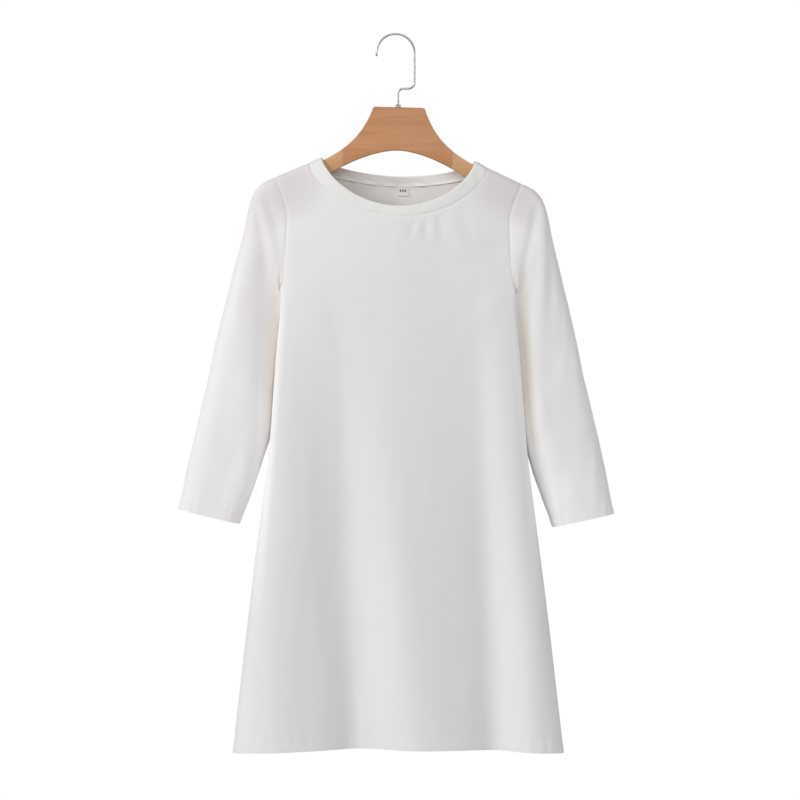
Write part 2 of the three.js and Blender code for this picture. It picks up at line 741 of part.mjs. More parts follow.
const group = new THREE.Group();
group.add(
	bodyPanel( 'dress_front', 'front' ),
	bodyPanel( 'dress_back', 'back' ),
	sleeve( 'sleeve_left', 1 ),
	sleeve( 'sleeve_right', - 1 ),
	neckband( 'neckband' ),
	neckLabel( 'neck_label' ),
	hangerCentre( 'hanger_centre' ),
	hangerArm( 'hanger_arm_left', 1 ),
	hangerArm( 'hanger_arm_right', - 1 ),
	hook( 'hanger_hook' ),
	hookNut( 'hook_nut' )
);

export default group;
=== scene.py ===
"""A plain white sweatshirt dress with three-quarter sleeves, hung on a wooden hanger.

The dress is cut as a maker would cut it: a front, a back, two set-in sleeves and a folded
neckband. Each cloth piece is a thin shell over a form that is worked out in millimetres as x
from the centre line, y towards the back and drop below the rail, then placed in metres.
"""

import math

import bpy
import numpy as np
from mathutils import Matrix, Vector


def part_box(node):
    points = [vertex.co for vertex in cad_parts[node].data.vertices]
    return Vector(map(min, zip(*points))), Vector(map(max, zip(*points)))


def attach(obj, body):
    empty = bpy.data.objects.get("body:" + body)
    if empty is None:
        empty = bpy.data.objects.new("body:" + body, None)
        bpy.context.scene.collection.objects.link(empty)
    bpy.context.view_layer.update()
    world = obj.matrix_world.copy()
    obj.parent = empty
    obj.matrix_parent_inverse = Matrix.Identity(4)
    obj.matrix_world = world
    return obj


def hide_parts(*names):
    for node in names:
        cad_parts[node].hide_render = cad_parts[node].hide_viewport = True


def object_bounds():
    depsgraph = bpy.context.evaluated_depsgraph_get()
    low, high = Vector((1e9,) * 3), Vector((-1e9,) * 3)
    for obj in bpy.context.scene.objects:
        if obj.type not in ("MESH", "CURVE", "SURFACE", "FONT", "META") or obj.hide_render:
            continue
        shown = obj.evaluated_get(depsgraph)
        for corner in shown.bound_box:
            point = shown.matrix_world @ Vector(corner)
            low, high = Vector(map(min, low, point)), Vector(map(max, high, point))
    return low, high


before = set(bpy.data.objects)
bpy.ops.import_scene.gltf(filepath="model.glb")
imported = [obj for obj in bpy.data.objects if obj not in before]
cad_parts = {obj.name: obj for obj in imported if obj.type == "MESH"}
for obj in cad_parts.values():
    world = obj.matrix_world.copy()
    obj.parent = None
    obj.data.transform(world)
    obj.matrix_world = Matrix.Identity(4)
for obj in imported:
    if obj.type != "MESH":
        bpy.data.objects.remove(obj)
CAD_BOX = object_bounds()

bl_info = {
    "name": "Sweatshirt Dress on a Hanger",
    "version": (1, 0, 0),
    "blender": (4, 5, 0),
    "location": "View3D > Sidebar > Dress",
    "description": "Builds a sweatshirt dress with its folds, seams and stitches on a wooden hanger",
    "category": "Add Mesh",
}

MM = 0.001

# ---- Sizes of the garment, in millimetres ----

CENTRE_X = 4.5
TILT = math.tan(math.radians(1.5))
HEM_DROP = 997.0
HEM_SIDE_DIP = 6.0
SHOULDER_X, SHOULDER_DROP = 173.3, 203.7
NECK_X, NECK_DROP = 125.0, 182.4
NECK_LOW = {"front": 255.6, "back": 207.5}
EDGE_X, EDGE_DROP = 107.0, 173.2
EDGE_LOW = {"front": 240.3, "back": 196.0}
EDGE_Y = {"front": -34.0, "back": 27.0}
NECK_ROUND = 1.3
UNDERARM = 378.0
ARMHOLE_TURN = 340.0
INNER_SHARE = 0.8
OUTER_WIDTH = 8.0
SHOULDER_ROLL = 10.0
FALL_LENGTH = 140.0
SLEEVE_LEAN = 0.0065


def ease(value, start, end):
    """0 before start, 1 after end, and a smooth rise between them."""
    t = np.clip((value - start) / (end - start), 0.0, 1.0)
    return t * t * (3 - 2 * t)


def blend(a, b, t):
    return a + (b - a) * t


def section_table(columns, rows):
    """Sections by their first column, read between the rows along a curve that never overshoots."""
    keys = np.array([row[0] for row in rows], float)
    values = np.array([row[1:] for row in rows], float)
    rises = np.diff(values, axis=0) / np.diff(keys)[:, None]
    before, after = rises[:-1], rises[1:]
    total = np.where(before + after == 0, 1.0, before + after)
    middle = np.where(before * after > 0, 2 * before * after / total, 0.0)
    slopes = np.vstack([rises[:1], middle, rises[-1:]])

    def at(key):
        key = np.clip(np.asarray(key, float), keys[0], keys[-1])
        k = np.clip(np.searchsorted(keys, key) - 1, 0, len(keys) - 2)
        span = keys[k + 1] - keys[k]
        t = ((key - keys[k]) / span)[..., None]
        rise = values[k + 1] - values[k]
        bend = slopes[k] * (1 - t) - slopes[k + 1] * t
        found = values[k] + rise * t * t * (3 - 2 * t) + bend * span[..., None] * t * (1 - t)
        return {name: found[..., c] for c, name in enumerate(columns[1:])}

    return at


# edge and edgeY: the front's rounded side edge. tuck and seamY: how far inside it the side seam
# lies. front and back: how far the cloth stands off the middle. round: how square it is.
body_at = section_table(
    ["drop", "edge", "edgeY", "tuck", "seamY", "front", "back", "round"],
    [
        (170, 215, 0, 0, 0, 48, 46, 3.2),
        (255, 213, 0, 0, 0, 48, 46, 3.4),
        (300, 196, 12, 8, 4, 47, 46, 3.8),
        (340, 167, 26, 10, 8, 46, 46, 4.5),
        (378, 163.5, 30, 23.5, 8, 45, 46, 5),
        (430, 168, 29, 22, 8, 44, 46, 5),
        (520, 175, 25, 18, 7, 43, 46, 5),
        (578, 179.5, 19, 10, 5, 43, 46, 5),
        (680, 192, 3, 0, 0, 43, 46, 5),
        (840, 212.5, 0, 0, 0, 45, 47, 5),
        (1003, 231, 0, 0, 0, 48, 50, 5),
    ],
)
armhole_at = section_table(
    ["drop", "front", "back"],
    [
        (203.7, 173.3, 173.3),
        (230, 162, 165),
        (259, 155, 160),
        (301, 156.5, 155),
        (340, 160.5, 145),
    ],
)
sleeve_at = section_table(
    ["ring", "outX", "outDrop", "inX", "inDrop", "front", "back", "mid"],
    [
        (0, 173.3, 203.7, 140, 378, 24, 24, 2),
        (0.05, 190, 212.5, 149, 380, 25, 25, 2),
        (0.1, 201, 225, 148, 388, 27, 27, 2),
        (0.16, 208.5, 245, 149.5, 397, 30, 30, 3),
        (0.24, 215.5, 278, 149, 410, 32, 33, 4),
        (0.34, 225, 315, 152, 429, 34, 35, 6),
        (0.45, 236.5, 363, 157, 463, 33, 35, 5),
        (0.56, 248.5, 413, 164, 503, 32, 34, 4),
        (0.67, 260.5, 469, 171, 547, 31, 32, 2),
        (0.78, 274.5, 529, 185.5, 592, 29, 30, 2),
        (0.89, 289.5, 593, 201, 638.5, 28, 29, 3),
        (1, 304.8, 666.8, 219.3, 686.3, 28, 29, 3),
    ],
)
SLEEVE_ROUND = 3.0

# The broad folds of each panel: x at the underarm and at the hem, the drop where the fold
# starts, how early it grows, its width towards -X and +X, and how far it stands out or in.
FOLDS = {
    "front": [
        (-158, -172, 420, 0.7, 30, 40, 4),
        (-98, -38, 360, 0.65, 84, 42, -38),
        (-90, -62, 400, 0.7, 28, 20, -8),
        (-24, 22, 400, 0.6, 40, 60, 5),
        (104, 146, 285, 0.6, 84, 34, -30),
        (104, 136, 300, 0.6, 22, 20, -7),
        (140, 190, 320, 0.5, 30, 34, 6),
    ],
    "back": [
        (-80, -112, 360, 0.6, 30, 44, -11),
        (-30, -38, 430, 0.7, 50, 50, 6),
        (30, 48, 500, 0.7, 24, 36, -9),
        (80, 142, 420, 0.7, 48, 48, 7),
    ],
}


def tilt_at(drop):
    """How much of the shoulders' tilt is left at a drop. The hem hangs level."""
    return 1 - 0.6 * ease(drop, 230, 690) - 0.4 * ease(drop, 690, 990)


def place(x, y, drop):
    """A garment point in the part's frame, still in millimetres."""
    return np.stack([CENTRE_X + x, y, -drop - TILT * x * tilt_at(drop)], axis=-1)


def ripple(a, b, length_a, length_b, seed):
    """Smooth uneven noise of about -1 to 1 over two coordinates."""
    rng = np.random.default_rng(seed)
    total = np.zeros(np.broadcast(a, b).shape)
    for octave in range(7):
        turn, phase = rng.uniform(-0.7, 0.7), rng.uniform(0, math.tau)
        scale = rng.uniform(0.6, 1.7)
        u, v = a / length_a * scale, b / length_b * scale
        wave = math.tau * (u * math.cos(turn) + v * math.sin(turn)) + phase
        total += np.sin(wave + 1.3 * np.sin(math.tau * v + octave))
    return total / 3.2


# ---- Surface of the body ----

SHOULDER_SLOPE = (SHOULDER_DROP - NECK_DROP) / (SHOULDER_X - NECK_X)


def shoulder_drop(x):
    return NECK_DROP + SHOULDER_SLOPE * (np.abs(x) - NECK_X)


def fold_height(panel, section, drop, x):
    down = (drop - UNDERARM) / (HEM_DROP - UNDERARM)
    side = 1 - np.minimum(np.abs(x) / section["edge"], 1) ** 6
    total = np.zeros(np.broadcast(drop, x).shape)
    for top, hem, start, early, before, after, height in FOLDS[panel]:
        away = x - top - (hem - top) * down
        away = away / np.where(away < 0, before, after)
        grown = ease(drop, start, HEM_DROP + 60) ** early
        total += height * grown * side * np.exp(-away * away)
    return total


class HalfSections:
    """Half sections of a panel at many drops, from the centre line to the side seam."""

    FACE_STEPS = 48
    WRAP_STEPS = 12

    def __init__(self, panel, drop, side):
        row = {name: column[:, None] for name, column in body_at(drop).items()}
        drop, side = drop[:, None], side[:, None]
        front = panel == "front"
        towards = -1 if front else 1
        half = row["edge"] if front else row["edge"] - row["tuck"]
        rim = row["edgeY"] if front else row["seamY"]
        x = half * np.sin(np.linspace(0, math.pi / 2, self.FACE_STEPS + 1))
        below = np.maximum(drop - shoulder_drop(x), 0)
        rolled = np.minimum(below / SHOULDER_ROLL, 1)
        strap = SHOULDER_ROLL * np.sqrt(1 - (1 - rolled) ** 2)
        merged = ease(drop, 215, 315)
        fullness = row[panel] * (1 - np.exp(-below / FALL_LENGTH))
        lens = (1 - np.minimum(x / half, 1) ** row["round"]) ** (1 / row["round"])
        out = rim + strap * (1 - merged) + (fullness + strap * merged - rim) * lens
        out = out + fold_height(panel, row, drop, side * x)
        y = towards * out
        if front:
            turn = np.arange(1, self.WRAP_STEPS + 1) / self.WRAP_STEPS
            x = np.hstack([x, row["edge"] - row["tuck"] * ease(turn, 0, 0.8)])
            y = np.hstack([y, blend(-row["edgeY"], row["seamY"], turn**1.5)])
        self.x, self.y, self.side = x, y, side[:, 0]
        steps = np.hypot(np.diff(x, axis=1), np.diff(y, axis=1))
        self.lengths = np.hstack([np.zeros((len(x), 1)), np.cumsum(steps, axis=1)])
        self.whole = self.lengths[:, -1]
        self.reach = self._reach(panel, drop[:, 0])

    def length_to(self, x):
        """Length along each section to the point where it first reaches x."""
        rows = np.arange(len(self.x))
        k = np.clip((self.x[:, :-1] < x[:, None]).cumprod(axis=1).sum(axis=1), 1, self.x.shape[1] - 1)
        a, b = self.x[rows, k - 1], self.x[rows, k]
        t = np.clip((x - a) / np.where(b == a, 1, b - a), 0, 1)
        return blend(self.lengths[rows, k - 1], self.lengths[rows, k], t)

    def _reach(self, panel, drop):
        """Length to the armhole seam, which turns under the arm, or to the side seam below."""
        seam_x = armhole_at(np.minimum(drop, ARMHOLE_TURN))[panel]
        turn = np.clip((drop - ARMHOLE_TURN) / (UNDERARM - ARMHOLE_TURN), 0, 1)
        turned = blend(self.length_to(seam_x), self.whole, 1 - np.sqrt(1 - turn * turn))
        return np.where(drop >= UNDERARM, self.whole, turned)

    def walk(self, length):
        rows = np.arange(len(self.x))
        k = np.clip((self.lengths < length[:, None]).sum(axis=1), 1, self.x.shape[1] - 1)
        start, end = self.lengths[rows, k - 1], self.lengths[rows, k]
        t = (length - start) / (end - start)
        x = blend(self.x[rows, k - 1], self.x[rows, k], t)
        return self.side * x, blend(self.y[rows, k - 1], self.y[rows, k], t)


def upper_drop(panel, x):
    """Drop of a panel's upper edge at x: the neckline, or the shoulder seam beside it."""
    scoop = np.clip(1 - (x / NECK_X) ** 2, 0, 1) ** (NECK_ROUND / 2)
    neckline = NECK_DROP + (NECK_LOW[panel] - NECK_DROP) * scoop
    return np.where(np.abs(x) >= NECK_X, shoulder_drop(x), neckline)


def spread_out(share, top_x, panel, drop, section, level):
    """Length along a section above the underarm. Columns are even in width at the chest, and
    the inner ones open out towards the underarm, where the outer ones turn under the arm."""
    seam_x = armhole_at(np.minimum(drop, ARMHOLE_TURN))[panel]
    above = (UNDERARM - level) / (UNDERARM - SHOULDER_DROP)
    even = section.length_to(blend(share, top_x, ease(above, 0, 1)) * seam_x)
    opened = blend(section.reach, section.whole, ease(level, 250, UNDERARM))
    inner = np.minimum(INNER_SHARE * opened, section.reach - OUTER_WIDTH)
    outer = blend(inner, section.reach, (share - INNER_SHARE) / (1 - INNER_SHARE))
    turned = np.where(share <= INNER_SHARE, inner * share / INNER_SHARE, outer)
    found = blend(even, turned, ease(level, 285, 345))
    return np.where(share >= 1, section.reach, found)


def panel_point(panel, across, level):
    """Points of a panel as x, y and drop. across is -1 and 1 at its sides."""
    across, level = np.broadcast_arrays(np.asarray(across, float), np.asarray(level, float))
    shape = across.shape
    across, level = across.ravel(), level.ravel()
    side = np.where(across < 0, -1.0, 1.0)
    share = np.abs(across)
    upper_x = share * SHOULDER_X
    upper = upper_drop(panel, upper_x)
    low = level >= UNDERARM
    above = np.clip((UNDERARM - level) / (UNDERARM - SHOULDER_DROP), 0, 1)
    dip = HEM_SIDE_DIP * across * across * ease(level, 700, HEM_DROP)
    drop = np.where(low, level + dip, UNDERARM - (UNDERARM - upper) * above)
    section = HalfSections(panel, drop, side)
    top_x = upper_x / armhole_at(upper)[panel]
    spread = spread_out(share, top_x, panel, drop, section, level)
    x, y = section.walk(np.where(low, share * section.reach, spread))
    seam = (level <= SHOULDER_DROP) & (upper_x >= NECK_X)
    x, y, drop = np.where(seam, side * upper_x, x), np.where(seam, 0, y), np.where(seam, upper, drop)
    return x.reshape(shape), y.reshape(shape), drop.reshape(shape)


def sleeve_point(side, panel, level, ring):
    """Points of a sleeve. The station is a level of the armhole on the front or the back."""
    half = (UNDERARM - SHOULDER_DROP) / 2
    cos = np.clip((SHOULDER_DROP + half - level) / half, -1, 1)
    sin = np.sqrt(1 - cos * cos) ** (2 / SLEEVE_ROUND)
    cos = np.sign(cos) * np.abs(cos) ** (2 / SLEEVE_ROUND)
    towards = np.where(panel == "front", -1, 1)

    def ellipse(at):
        x = (at["outX"] + at["inX"]) / 2 + (at["outX"] - at["inX"]) / 2 * cos
        depth = np.where(panel == "front", at["front"], at["back"])
        drop = (at["outDrop"] + at["inDrop"]) / 2 + (at["outDrop"] - at["inDrop"]) / 2 * cos
        return x, at["mid"] + towards * depth * sin, drop

    seam = panel_point(panel, np.ones_like(level), level)
    first = ellipse(sleeve_at(np.zeros_like(ring)))
    here = ellipse(sleeve_at(ring))
    kept = 1 - ease(ring, 0, 0.35)
    x, y, drop = (now + (at - start) * kept for now, at, start in zip(here, seam, first))
    lean = SLEEVE_LEAN * (drop - SHOULDER_DROP) * (1 - kept)
    return side * x - lean, y, drop


# ---- Meshes ----


def grid_normals(points, round_columns):
    """Normals of a grid of points, rows running down and columns to the right seen from outside."""
    if round_columns:
        along = np.roll(points, -1, axis=1) - np.roll(points, 1, axis=1)
    else:
        along = np.gradient(points, axis=1)
    down = np.gradient(points, axis=0)
    normal = np.cross(down, along)
    return normal / np.maximum(np.linalg.norm(normal, axis=-1, keepdims=True), 1e-9)


TUCK_WALL = 0.5


def tuck_under(outer, normal, away=4.0, depth=0.45, share=1.0):
    """Adds a row before the first one that runs on under the piece sewn to that edge."""
    onward = outer[0] - outer[2]
    onward /= np.maximum(np.linalg.norm(onward, axis=-1, keepdims=True), 1e-9)
    extra = outer[0] + (onward * away - normal[0] * depth) * np.reshape(share, (-1, 1))
    return np.vstack([extra[None], outer]), np.vstack([normal[:1], normal])


def relax(points, weight, times):
    """Evens out a ring grid where the weight is above zero, leaving its first row alone."""
    points = points.copy()
    for _ in range(times):
        beside = (np.roll(points, 1, axis=1) + np.roll(points, -1, axis=1)) / 2
        ahead = (points[:-2] + points[2:]) / 2
        change = (beside[1:-1] + ahead) / 2 - points[1:-1]
        points[1:-1] += change * weight[1:-1, :, None]
    return points


def run_lengths(points, axis):
    """Running length along an axis of a grid of points."""
    steps = np.linalg.norm(np.diff(points, axis=axis), axis=-1)
    start = np.zeros_like(np.take(steps, [0], axis=axis))
    return np.concatenate([start, np.cumsum(steps, axis=axis)], axis=axis)


def new_piece(name, vertices, faces, uvs=None):
    """A smooth mesh object at the origin from points in millimetres. uvs are one per vertex."""
    mesh = bpy.data.meshes.new(name)
    mesh.from_pydata((np.asarray(vertices) * MM).tolist(), [], faces)
    mesh.validate()
    mesh.polygons.foreach_set("use_smooth", [True] * len(mesh.polygons))
    if uvs is not None:
        layer = mesh.uv_layers.new(name="cloth")
        corners = np.empty(len(mesh.loops), int)
        mesh.loops.foreach_get("vertex_index", corners)
        layer.data.foreach_set("uv", np.asarray(uvs)[corners].ravel().astype(np.float32))
    mesh.update()
    mesh.set_sharp_from_angle(angle=math.radians(55))
    piece = bpy.data.objects.new(name, mesh)
    bpy.context.scene.collection.objects.link(piece)
    return piece


# The inner side of a shell has its UVs this much further up, so a material can tell the sides apart.
INSIDE_SHIFT = 2.0
INSIDE_FROM = INSIDE_SHIFT - 0.2


def shell(name, outer, inner, uv, round_columns=False):
    """A closed wall between two grids of points. uv holds cloth coordinates in metres."""
    rows, columns = outer.shape[:2]
    count = rows * columns
    index = np.arange(count).reshape(rows, columns)
    if round_columns:
        index = np.hstack([index, index[:, :1]])
    a, b, c, d = index[:-1, :-1], index[1:, :-1], index[1:, 1:], index[:-1, 1:]
    out = np.stack([a, b, c, d], axis=-1).reshape(-1, 4)
    into = np.stack([a, d, c, b], axis=-1).reshape(-1, 4) + count

    def rim(first, second):
        return np.stack([first, second, second + count, first + count], axis=-1)

    faces = [out, into, rim(index[0, :-1], index[0, 1:]), rim(index[-1, 1:], index[-1, :-1])]
    if not round_columns:
        faces += [rim(index[1:, 0], index[:-1, 0]), rim(index[:-1, -1], index[1:, -1])]
    vertices = np.vstack([outer.reshape(-1, 3), inner.reshape(-1, 3)])
    uvs = np.vstack([uv.reshape(-1, 2), uv.reshape(-1, 2) + (0, INSIDE_SHIFT)])
    return new_piece(name, vertices, np.vstack(faces).tolist(), uvs)


def finish_piece(piece, material, slot, *nodes):
    piece.data.materials.append(material)
    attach(piece, "root")
    if nodes:
        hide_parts(*nodes)
    return piece


# ---- Materials ----


class Shader:
    """A node tree with one Principled surface, built by name."""

    def __init__(self, name):
        self.material = bpy.data.materials.new(name)
        self.material.use_nodes = True
        self.tree = self.material.node_tree
        self.surface = self.tree.nodes["Principled BSDF"]

    def node(self, kind, settings=(), **inputs):
        made = self.tree.nodes.new(kind)
        for key, value in dict(settings).items():
            setattr(made, key, value)
        for key, value in inputs.items():
            by_number = key[0] == "i" and key[1:].isdigit()
            self.put(made.inputs[int(key[1:]) if by_number else key.replace("_", " ")], value)
        return made.outputs[0]

    def put(self, socket, value):
        if isinstance(value, bpy.types.NodeSocket):
            self.tree.links.new(value, socket)
        elif hasattr(value, "__len__") and socket.type == "RGBA":
            socket.default_value = (*value, 1)[:4]
        else:
            socket.default_value = value

    def math(self, operation, a, b=0.0):
        return self.node("ShaderNodeMath", {"operation": operation}, i0=a, i1=b)

    def coordinates(self, output, scale=(1, 1, 1), location=(0, 0, 0)):
        found = self.tree.nodes.new("ShaderNodeTexCoord").outputs[output]
        return self.node("ShaderNodeMapping", Vector=found, Scale=scale, Location=location)

    def noise(self, vector, scale, detail=3.0, roughness=0.5, distortion=0.0):
        sizes = {"Scale": scale, "Detail": detail, "Roughness": roughness, "Distortion": distortion}
        return self.node("ShaderNodeTexNoise", Vector=vector, **sizes)

    def ramp(self, value, *stops):
        found = self.tree.nodes.new("ShaderNodeValToRGB")
        self.put(found.inputs[0], value)
        ramp = found.color_ramp
        while len(ramp.elements) < len(stops):
            ramp.elements.new(0.5)
        for element, (position, colour) in zip(ramp.elements, stops):
            element.position = position
            element.color = (*colour, 1)
        return found.outputs[0]

    def mix(self, factor, a, b):
        made = self.tree.nodes.new("ShaderNodeMix")
        made.data_type = "RGBA"
        for socket, value in ((made.inputs[0], factor), (made.inputs[6], a), (made.inputs[7], b)):
            self.put(socket, value)
        return made.outputs[2]

    def bump(self, height, strength, distance):
        return self.node("ShaderNodeBump", Height=height, Strength=strength, Distance=distance)

    def finish(self, **inputs):
        for key, value in inputs.items():
            self.put(self.surface.inputs[key.replace("_", " ")], value)
        return self.material


def shade(colour, factor):
    return tuple(min(c * factor, 1) for c in colour[:3])


def knit_material(name, colour, wale, course, painted_tints=()):
    """Fine jersey: columns of small V loops with painted shade between them, a slightly uneven tone,
    a painted lighter inner side, the given patches of painted light and shade, and a soft sheen.
    """
    s = Shader(name)
    uv = s.coordinates("UV", scale=(1 / wale, 1 / course, 1))
    split = s.tree.nodes.new("ShaderNodeSeparateXYZ")
    s.put(split.inputs[0], uv)
    u, v = split.outputs[0], split.outputs[1]
    column = s.math("ABSOLUTE", s.math("SUBTRACT", s.math("FRACT", u), 0.5))
    loop = s.math("SINE", s.math("MULTIPLY", s.math("ADD", v, s.math("MULTIPLY", column, 1.2)), math.tau))
    valley = s.math("POWER", s.math("MULTIPLY", column, 2.0), 3.0)
    height = s.math("SUBTRACT", s.math("MULTIPLY", loop, 0.25), valley)
    cloud = s.noise(s.coordinates("Object", scale=(1, 1, 0.25)), 14.0, 3.0)
    fuzz = s.noise(s.coordinates("Object"), 900.0, 2.0)
    inside = s.math("GREATER_THAN", s.math("MULTIPLY", v, course), INSIDE_FROM)
    tone = s.ramp(cloud, (0.3, shade(colour, 0.985)), (0.7, shade(colour, 1.012)))
    # Painted light: the inner side of the shell gets a lighter, warmer colour than the outer side.
    tone = s.mix(inside, tone, (0.93, 0.905, 0.88))
    # Painted shade: the valleys between the loop columns are mixed a little towards a darker tone.
    lines = s.mix(s.math("MULTIPLY", valley, 0.05), tone, shade(colour, 0.8))
    for tint, strength, where in painted_tints:
        lines = patch(s, lines, tint, strength, **where)
    surface = s.math("ADD", height, s.math("MULTIPLY", fuzz, 0.8))
    return s.finish(
        Base_Color=lines,
        Roughness=0.88,
        Specular_IOR_Level=0.25,
        Sheen_Weight=0.12,
        Sheen_Roughness=0.5,
        Normal=s.bump(surface, 0.25, 0.0001),
    )


def patch(s, colour, tint, strength, across, along):
    """Mixes a tint in over a soft patch, in metres. across and along are its two directions: how
    much of the distance from the centre line, of the height and of a constant, and half its width."""
    split = s.tree.nodes.new("ShaderNodeSeparateXYZ")
    s.put(split.inputs[0], s.coordinates("Object", location=(-CENTRE_X * MM, 0, 0)))
    aside, height = s.math("ABSOLUTE", split.outputs[0]), split.outputs[2]
    amount = strength
    for from_centre, from_height, offset, width in (across, along):
        off = s.math("ADD", s.math("MULTIPLY", aside, from_centre), s.math("MULTIPLY", height, from_height))
        off = s.math("DIVIDE", s.math("ADD", off, offset), width)
        near = s.math("MAXIMUM", s.math("SUBTRACT", 1.0, s.math("MULTIPLY", off, off)), 0.0)
        amount = s.math("MULTIPLY", near, amount)
    return s.mix(amount, colour, tint)


# Painted light and shade that even out or deepen the tone of one white knit in front view. They
# follow the lights of this stage: painted shade over the hanger's arms, on the sleeves beside the body
# and in the right sleeve's fold, and painted light along the body's sides and on the lower inner sleeves.
SHADE_OVER_THE_ARMS = {"across": (0.42, 1, 0.15, 0.055), "along": (1, 0, -0.155, 0.062)}
SHADE_BEHIND_THE_BODY = {"across": (1, 0.055, -0.152, 0.012), "along": (0, 1, 0.44, 0.14)}
SHADE_IN_THE_FOLD = {"across": (1, 0.06, -0.169, 0.036), "along": (0, 1, 0.35, 0.15)}
LIGHT_ON_THE_SIDES = {"across": (1, 0.083, -0.134, 0.013), "along": (0, 1, 0.56, 0.26)}
LIGHT_ON_INNER_SLEEVES = {"across": (1, 0.353, 0.008, 0.032), "along": (0, 1, 0.6, 0.15)}


def label_material(name, colour):
    """White satin tape with three plain grey dashes."""
    s = Shader(name)
    split = s.tree.nodes.new("ShaderNodeSeparateXYZ")
    s.put(split.inputs[0], s.coordinates("UV"))
    u, v = split.outputs[0], split.outputs[1]
    cell = s.math("ABSOLUTE", s.math("SUBTRACT", s.math("FRACT", s.math("MULTIPLY", u, 5.0)), 0.5))
    dash = s.math("LESS_THAN", cell, 0.36)
    inside = s.math("MULTIPLY", s.math("GREATER_THAN", u, 0.2), s.math("LESS_THAN", u, 0.8))
    row = s.math("LESS_THAN", s.math("ABSOLUTE", s.math("SUBTRACT", v, 0.52)), 0.13)
    mark = s.math("MULTIPLY", s.math("MULTIPLY", dash, inside), row)
    weave = s.noise(s.coordinates("Object"), 3000.0, 2.0)
    return s.finish(
        Base_Color=s.mix(s.math("MULTIPLY", mark, 0.8), colour[:3], (0.06, 0.06, 0.07)),
        Roughness=0.5,
        Sheen_Weight=0.1,
        Normal=s.bump(weave, 0.2, 0.00005),
    )


def wood_material(name, light, dark, offset):
    """Lacquered beech: long grain, short dark flecks and a painted highlight of lighter colour along the
    sharp edges.
    """
    s = Shader(name)
    along = s.coordinates("Object", scale=(5, 60, 60), location=(offset, 0, 0))
    grain = s.noise(along, 1.6, 5.0, 0.6, 0.8)
    fine = s.noise(s.coordinates("Object", scale=(30, 700, 700)), 1.0, 3.0, 0.6, 0.3)
    fleck = s.noise(s.coordinates("Object", scale=(260, 1500, 1500), location=(offset, 0, 0)), 1.0, 1.0)
    base = s.ramp(grain, (0.3, dark), (0.5, blend(np.array(dark), np.array(light), 0.6)), (0.72, light))
    streaks = s.mix(s.math("MULTIPLY", fine, 0.22), base, shade(dark, 0.7))
    spots = s.math("MULTIPLY", s.math("GREATER_THAN", fleck, 0.63), 0.28)
    colour = s.mix(spots, streaks, shade(dark, 0.5))
    edge = s.node("ShaderNodeNewGeometry")
    pointy = edge.node.outputs["Pointiness"]
    # Painted highlight: the sharp edges, found by their pointiness, are mixed a quarter of the way to a
    # lighter tone.
    edge_highlight = s.ramp(pointy, (0.5, (0, 0, 0)), (0.56, (1, 1, 1)))
    colour = s.mix(s.math("MULTIPLY", edge_highlight, 0.25), colour, shade(light, 1.25))
    height = s.math("ADD", s.math("MULTIPLY", fine, 0.6), grain)
    return s.finish(
        Base_Color=colour,
        Roughness=s.ramp(fine, (0.3, (0.36,) * 3), (0.7, (0.5,) * 3)),
        Coat_Weight=0.25,
        Coat_Roughness=0.3,
        Normal=s.bump(height, 0.12, 0.0004),
    )


def steel_material(name, colour):
    """Plain drawn wire with faint draw lines and a little uneven polish."""
    s = Shader(name)
    lines = s.noise(s.coordinates("Object", scale=(900, 900, 60)), 1.0, 3.0)
    cloud = s.noise(s.coordinates("Object"), 60.0, 2.0)
    return s.finish(
        Base_Color=s.ramp(cloud, (0.3, shade(colour, 0.9)), (0.7, shade(colour, 1.08))),
        Metallic=1.0,
        Roughness=s.ramp(lines, (0.3, (0.2,) * 3), (0.7, (0.34,) * 3)),
        Normal=s.bump(lines, 0.08, 0.00005),
    )


def thread_material(name, colour):
    """Sewing thread with a fine twist."""
    s = Shader(name)
    twist = s.noise(s.coordinates("Object"), 4000.0, 1.0)
    twisted = s.bump(twist, 0.3, 0.00005)
    return s.finish(Base_Color=shade(colour, 1.0), Roughness=0.6, Sheen_Weight=0.2, Normal=twisted)


def floor_material(name, colour):
    s = Shader(name)
    cloud = s.noise(s.coordinates("Object"), 2.0, 2.0)
    tone = s.ramp(cloud, (0.3, shade(colour, 0.995)), (0.7, shade(colour, 1.005)))
    return s.finish(Base_Color=tone, Roughness=0.8)


# ---- Settings ----


def length_property(name, description, default):
    return bpy.props.FloatProperty(
        name=name, description=description, default=default, unit="LENGTH", subtype="DISTANCE", precision=5
    )


def power_property(name, description, default):
    return bpy.props.FloatProperty(name=name, description=description, default=default, unit="POWER")


def colour_property(name, description, default):
    return bpy.props.FloatVectorProperty(
        name=name, description=description, default=default, size=3, subtype="COLOR", min=0, max=1
    )


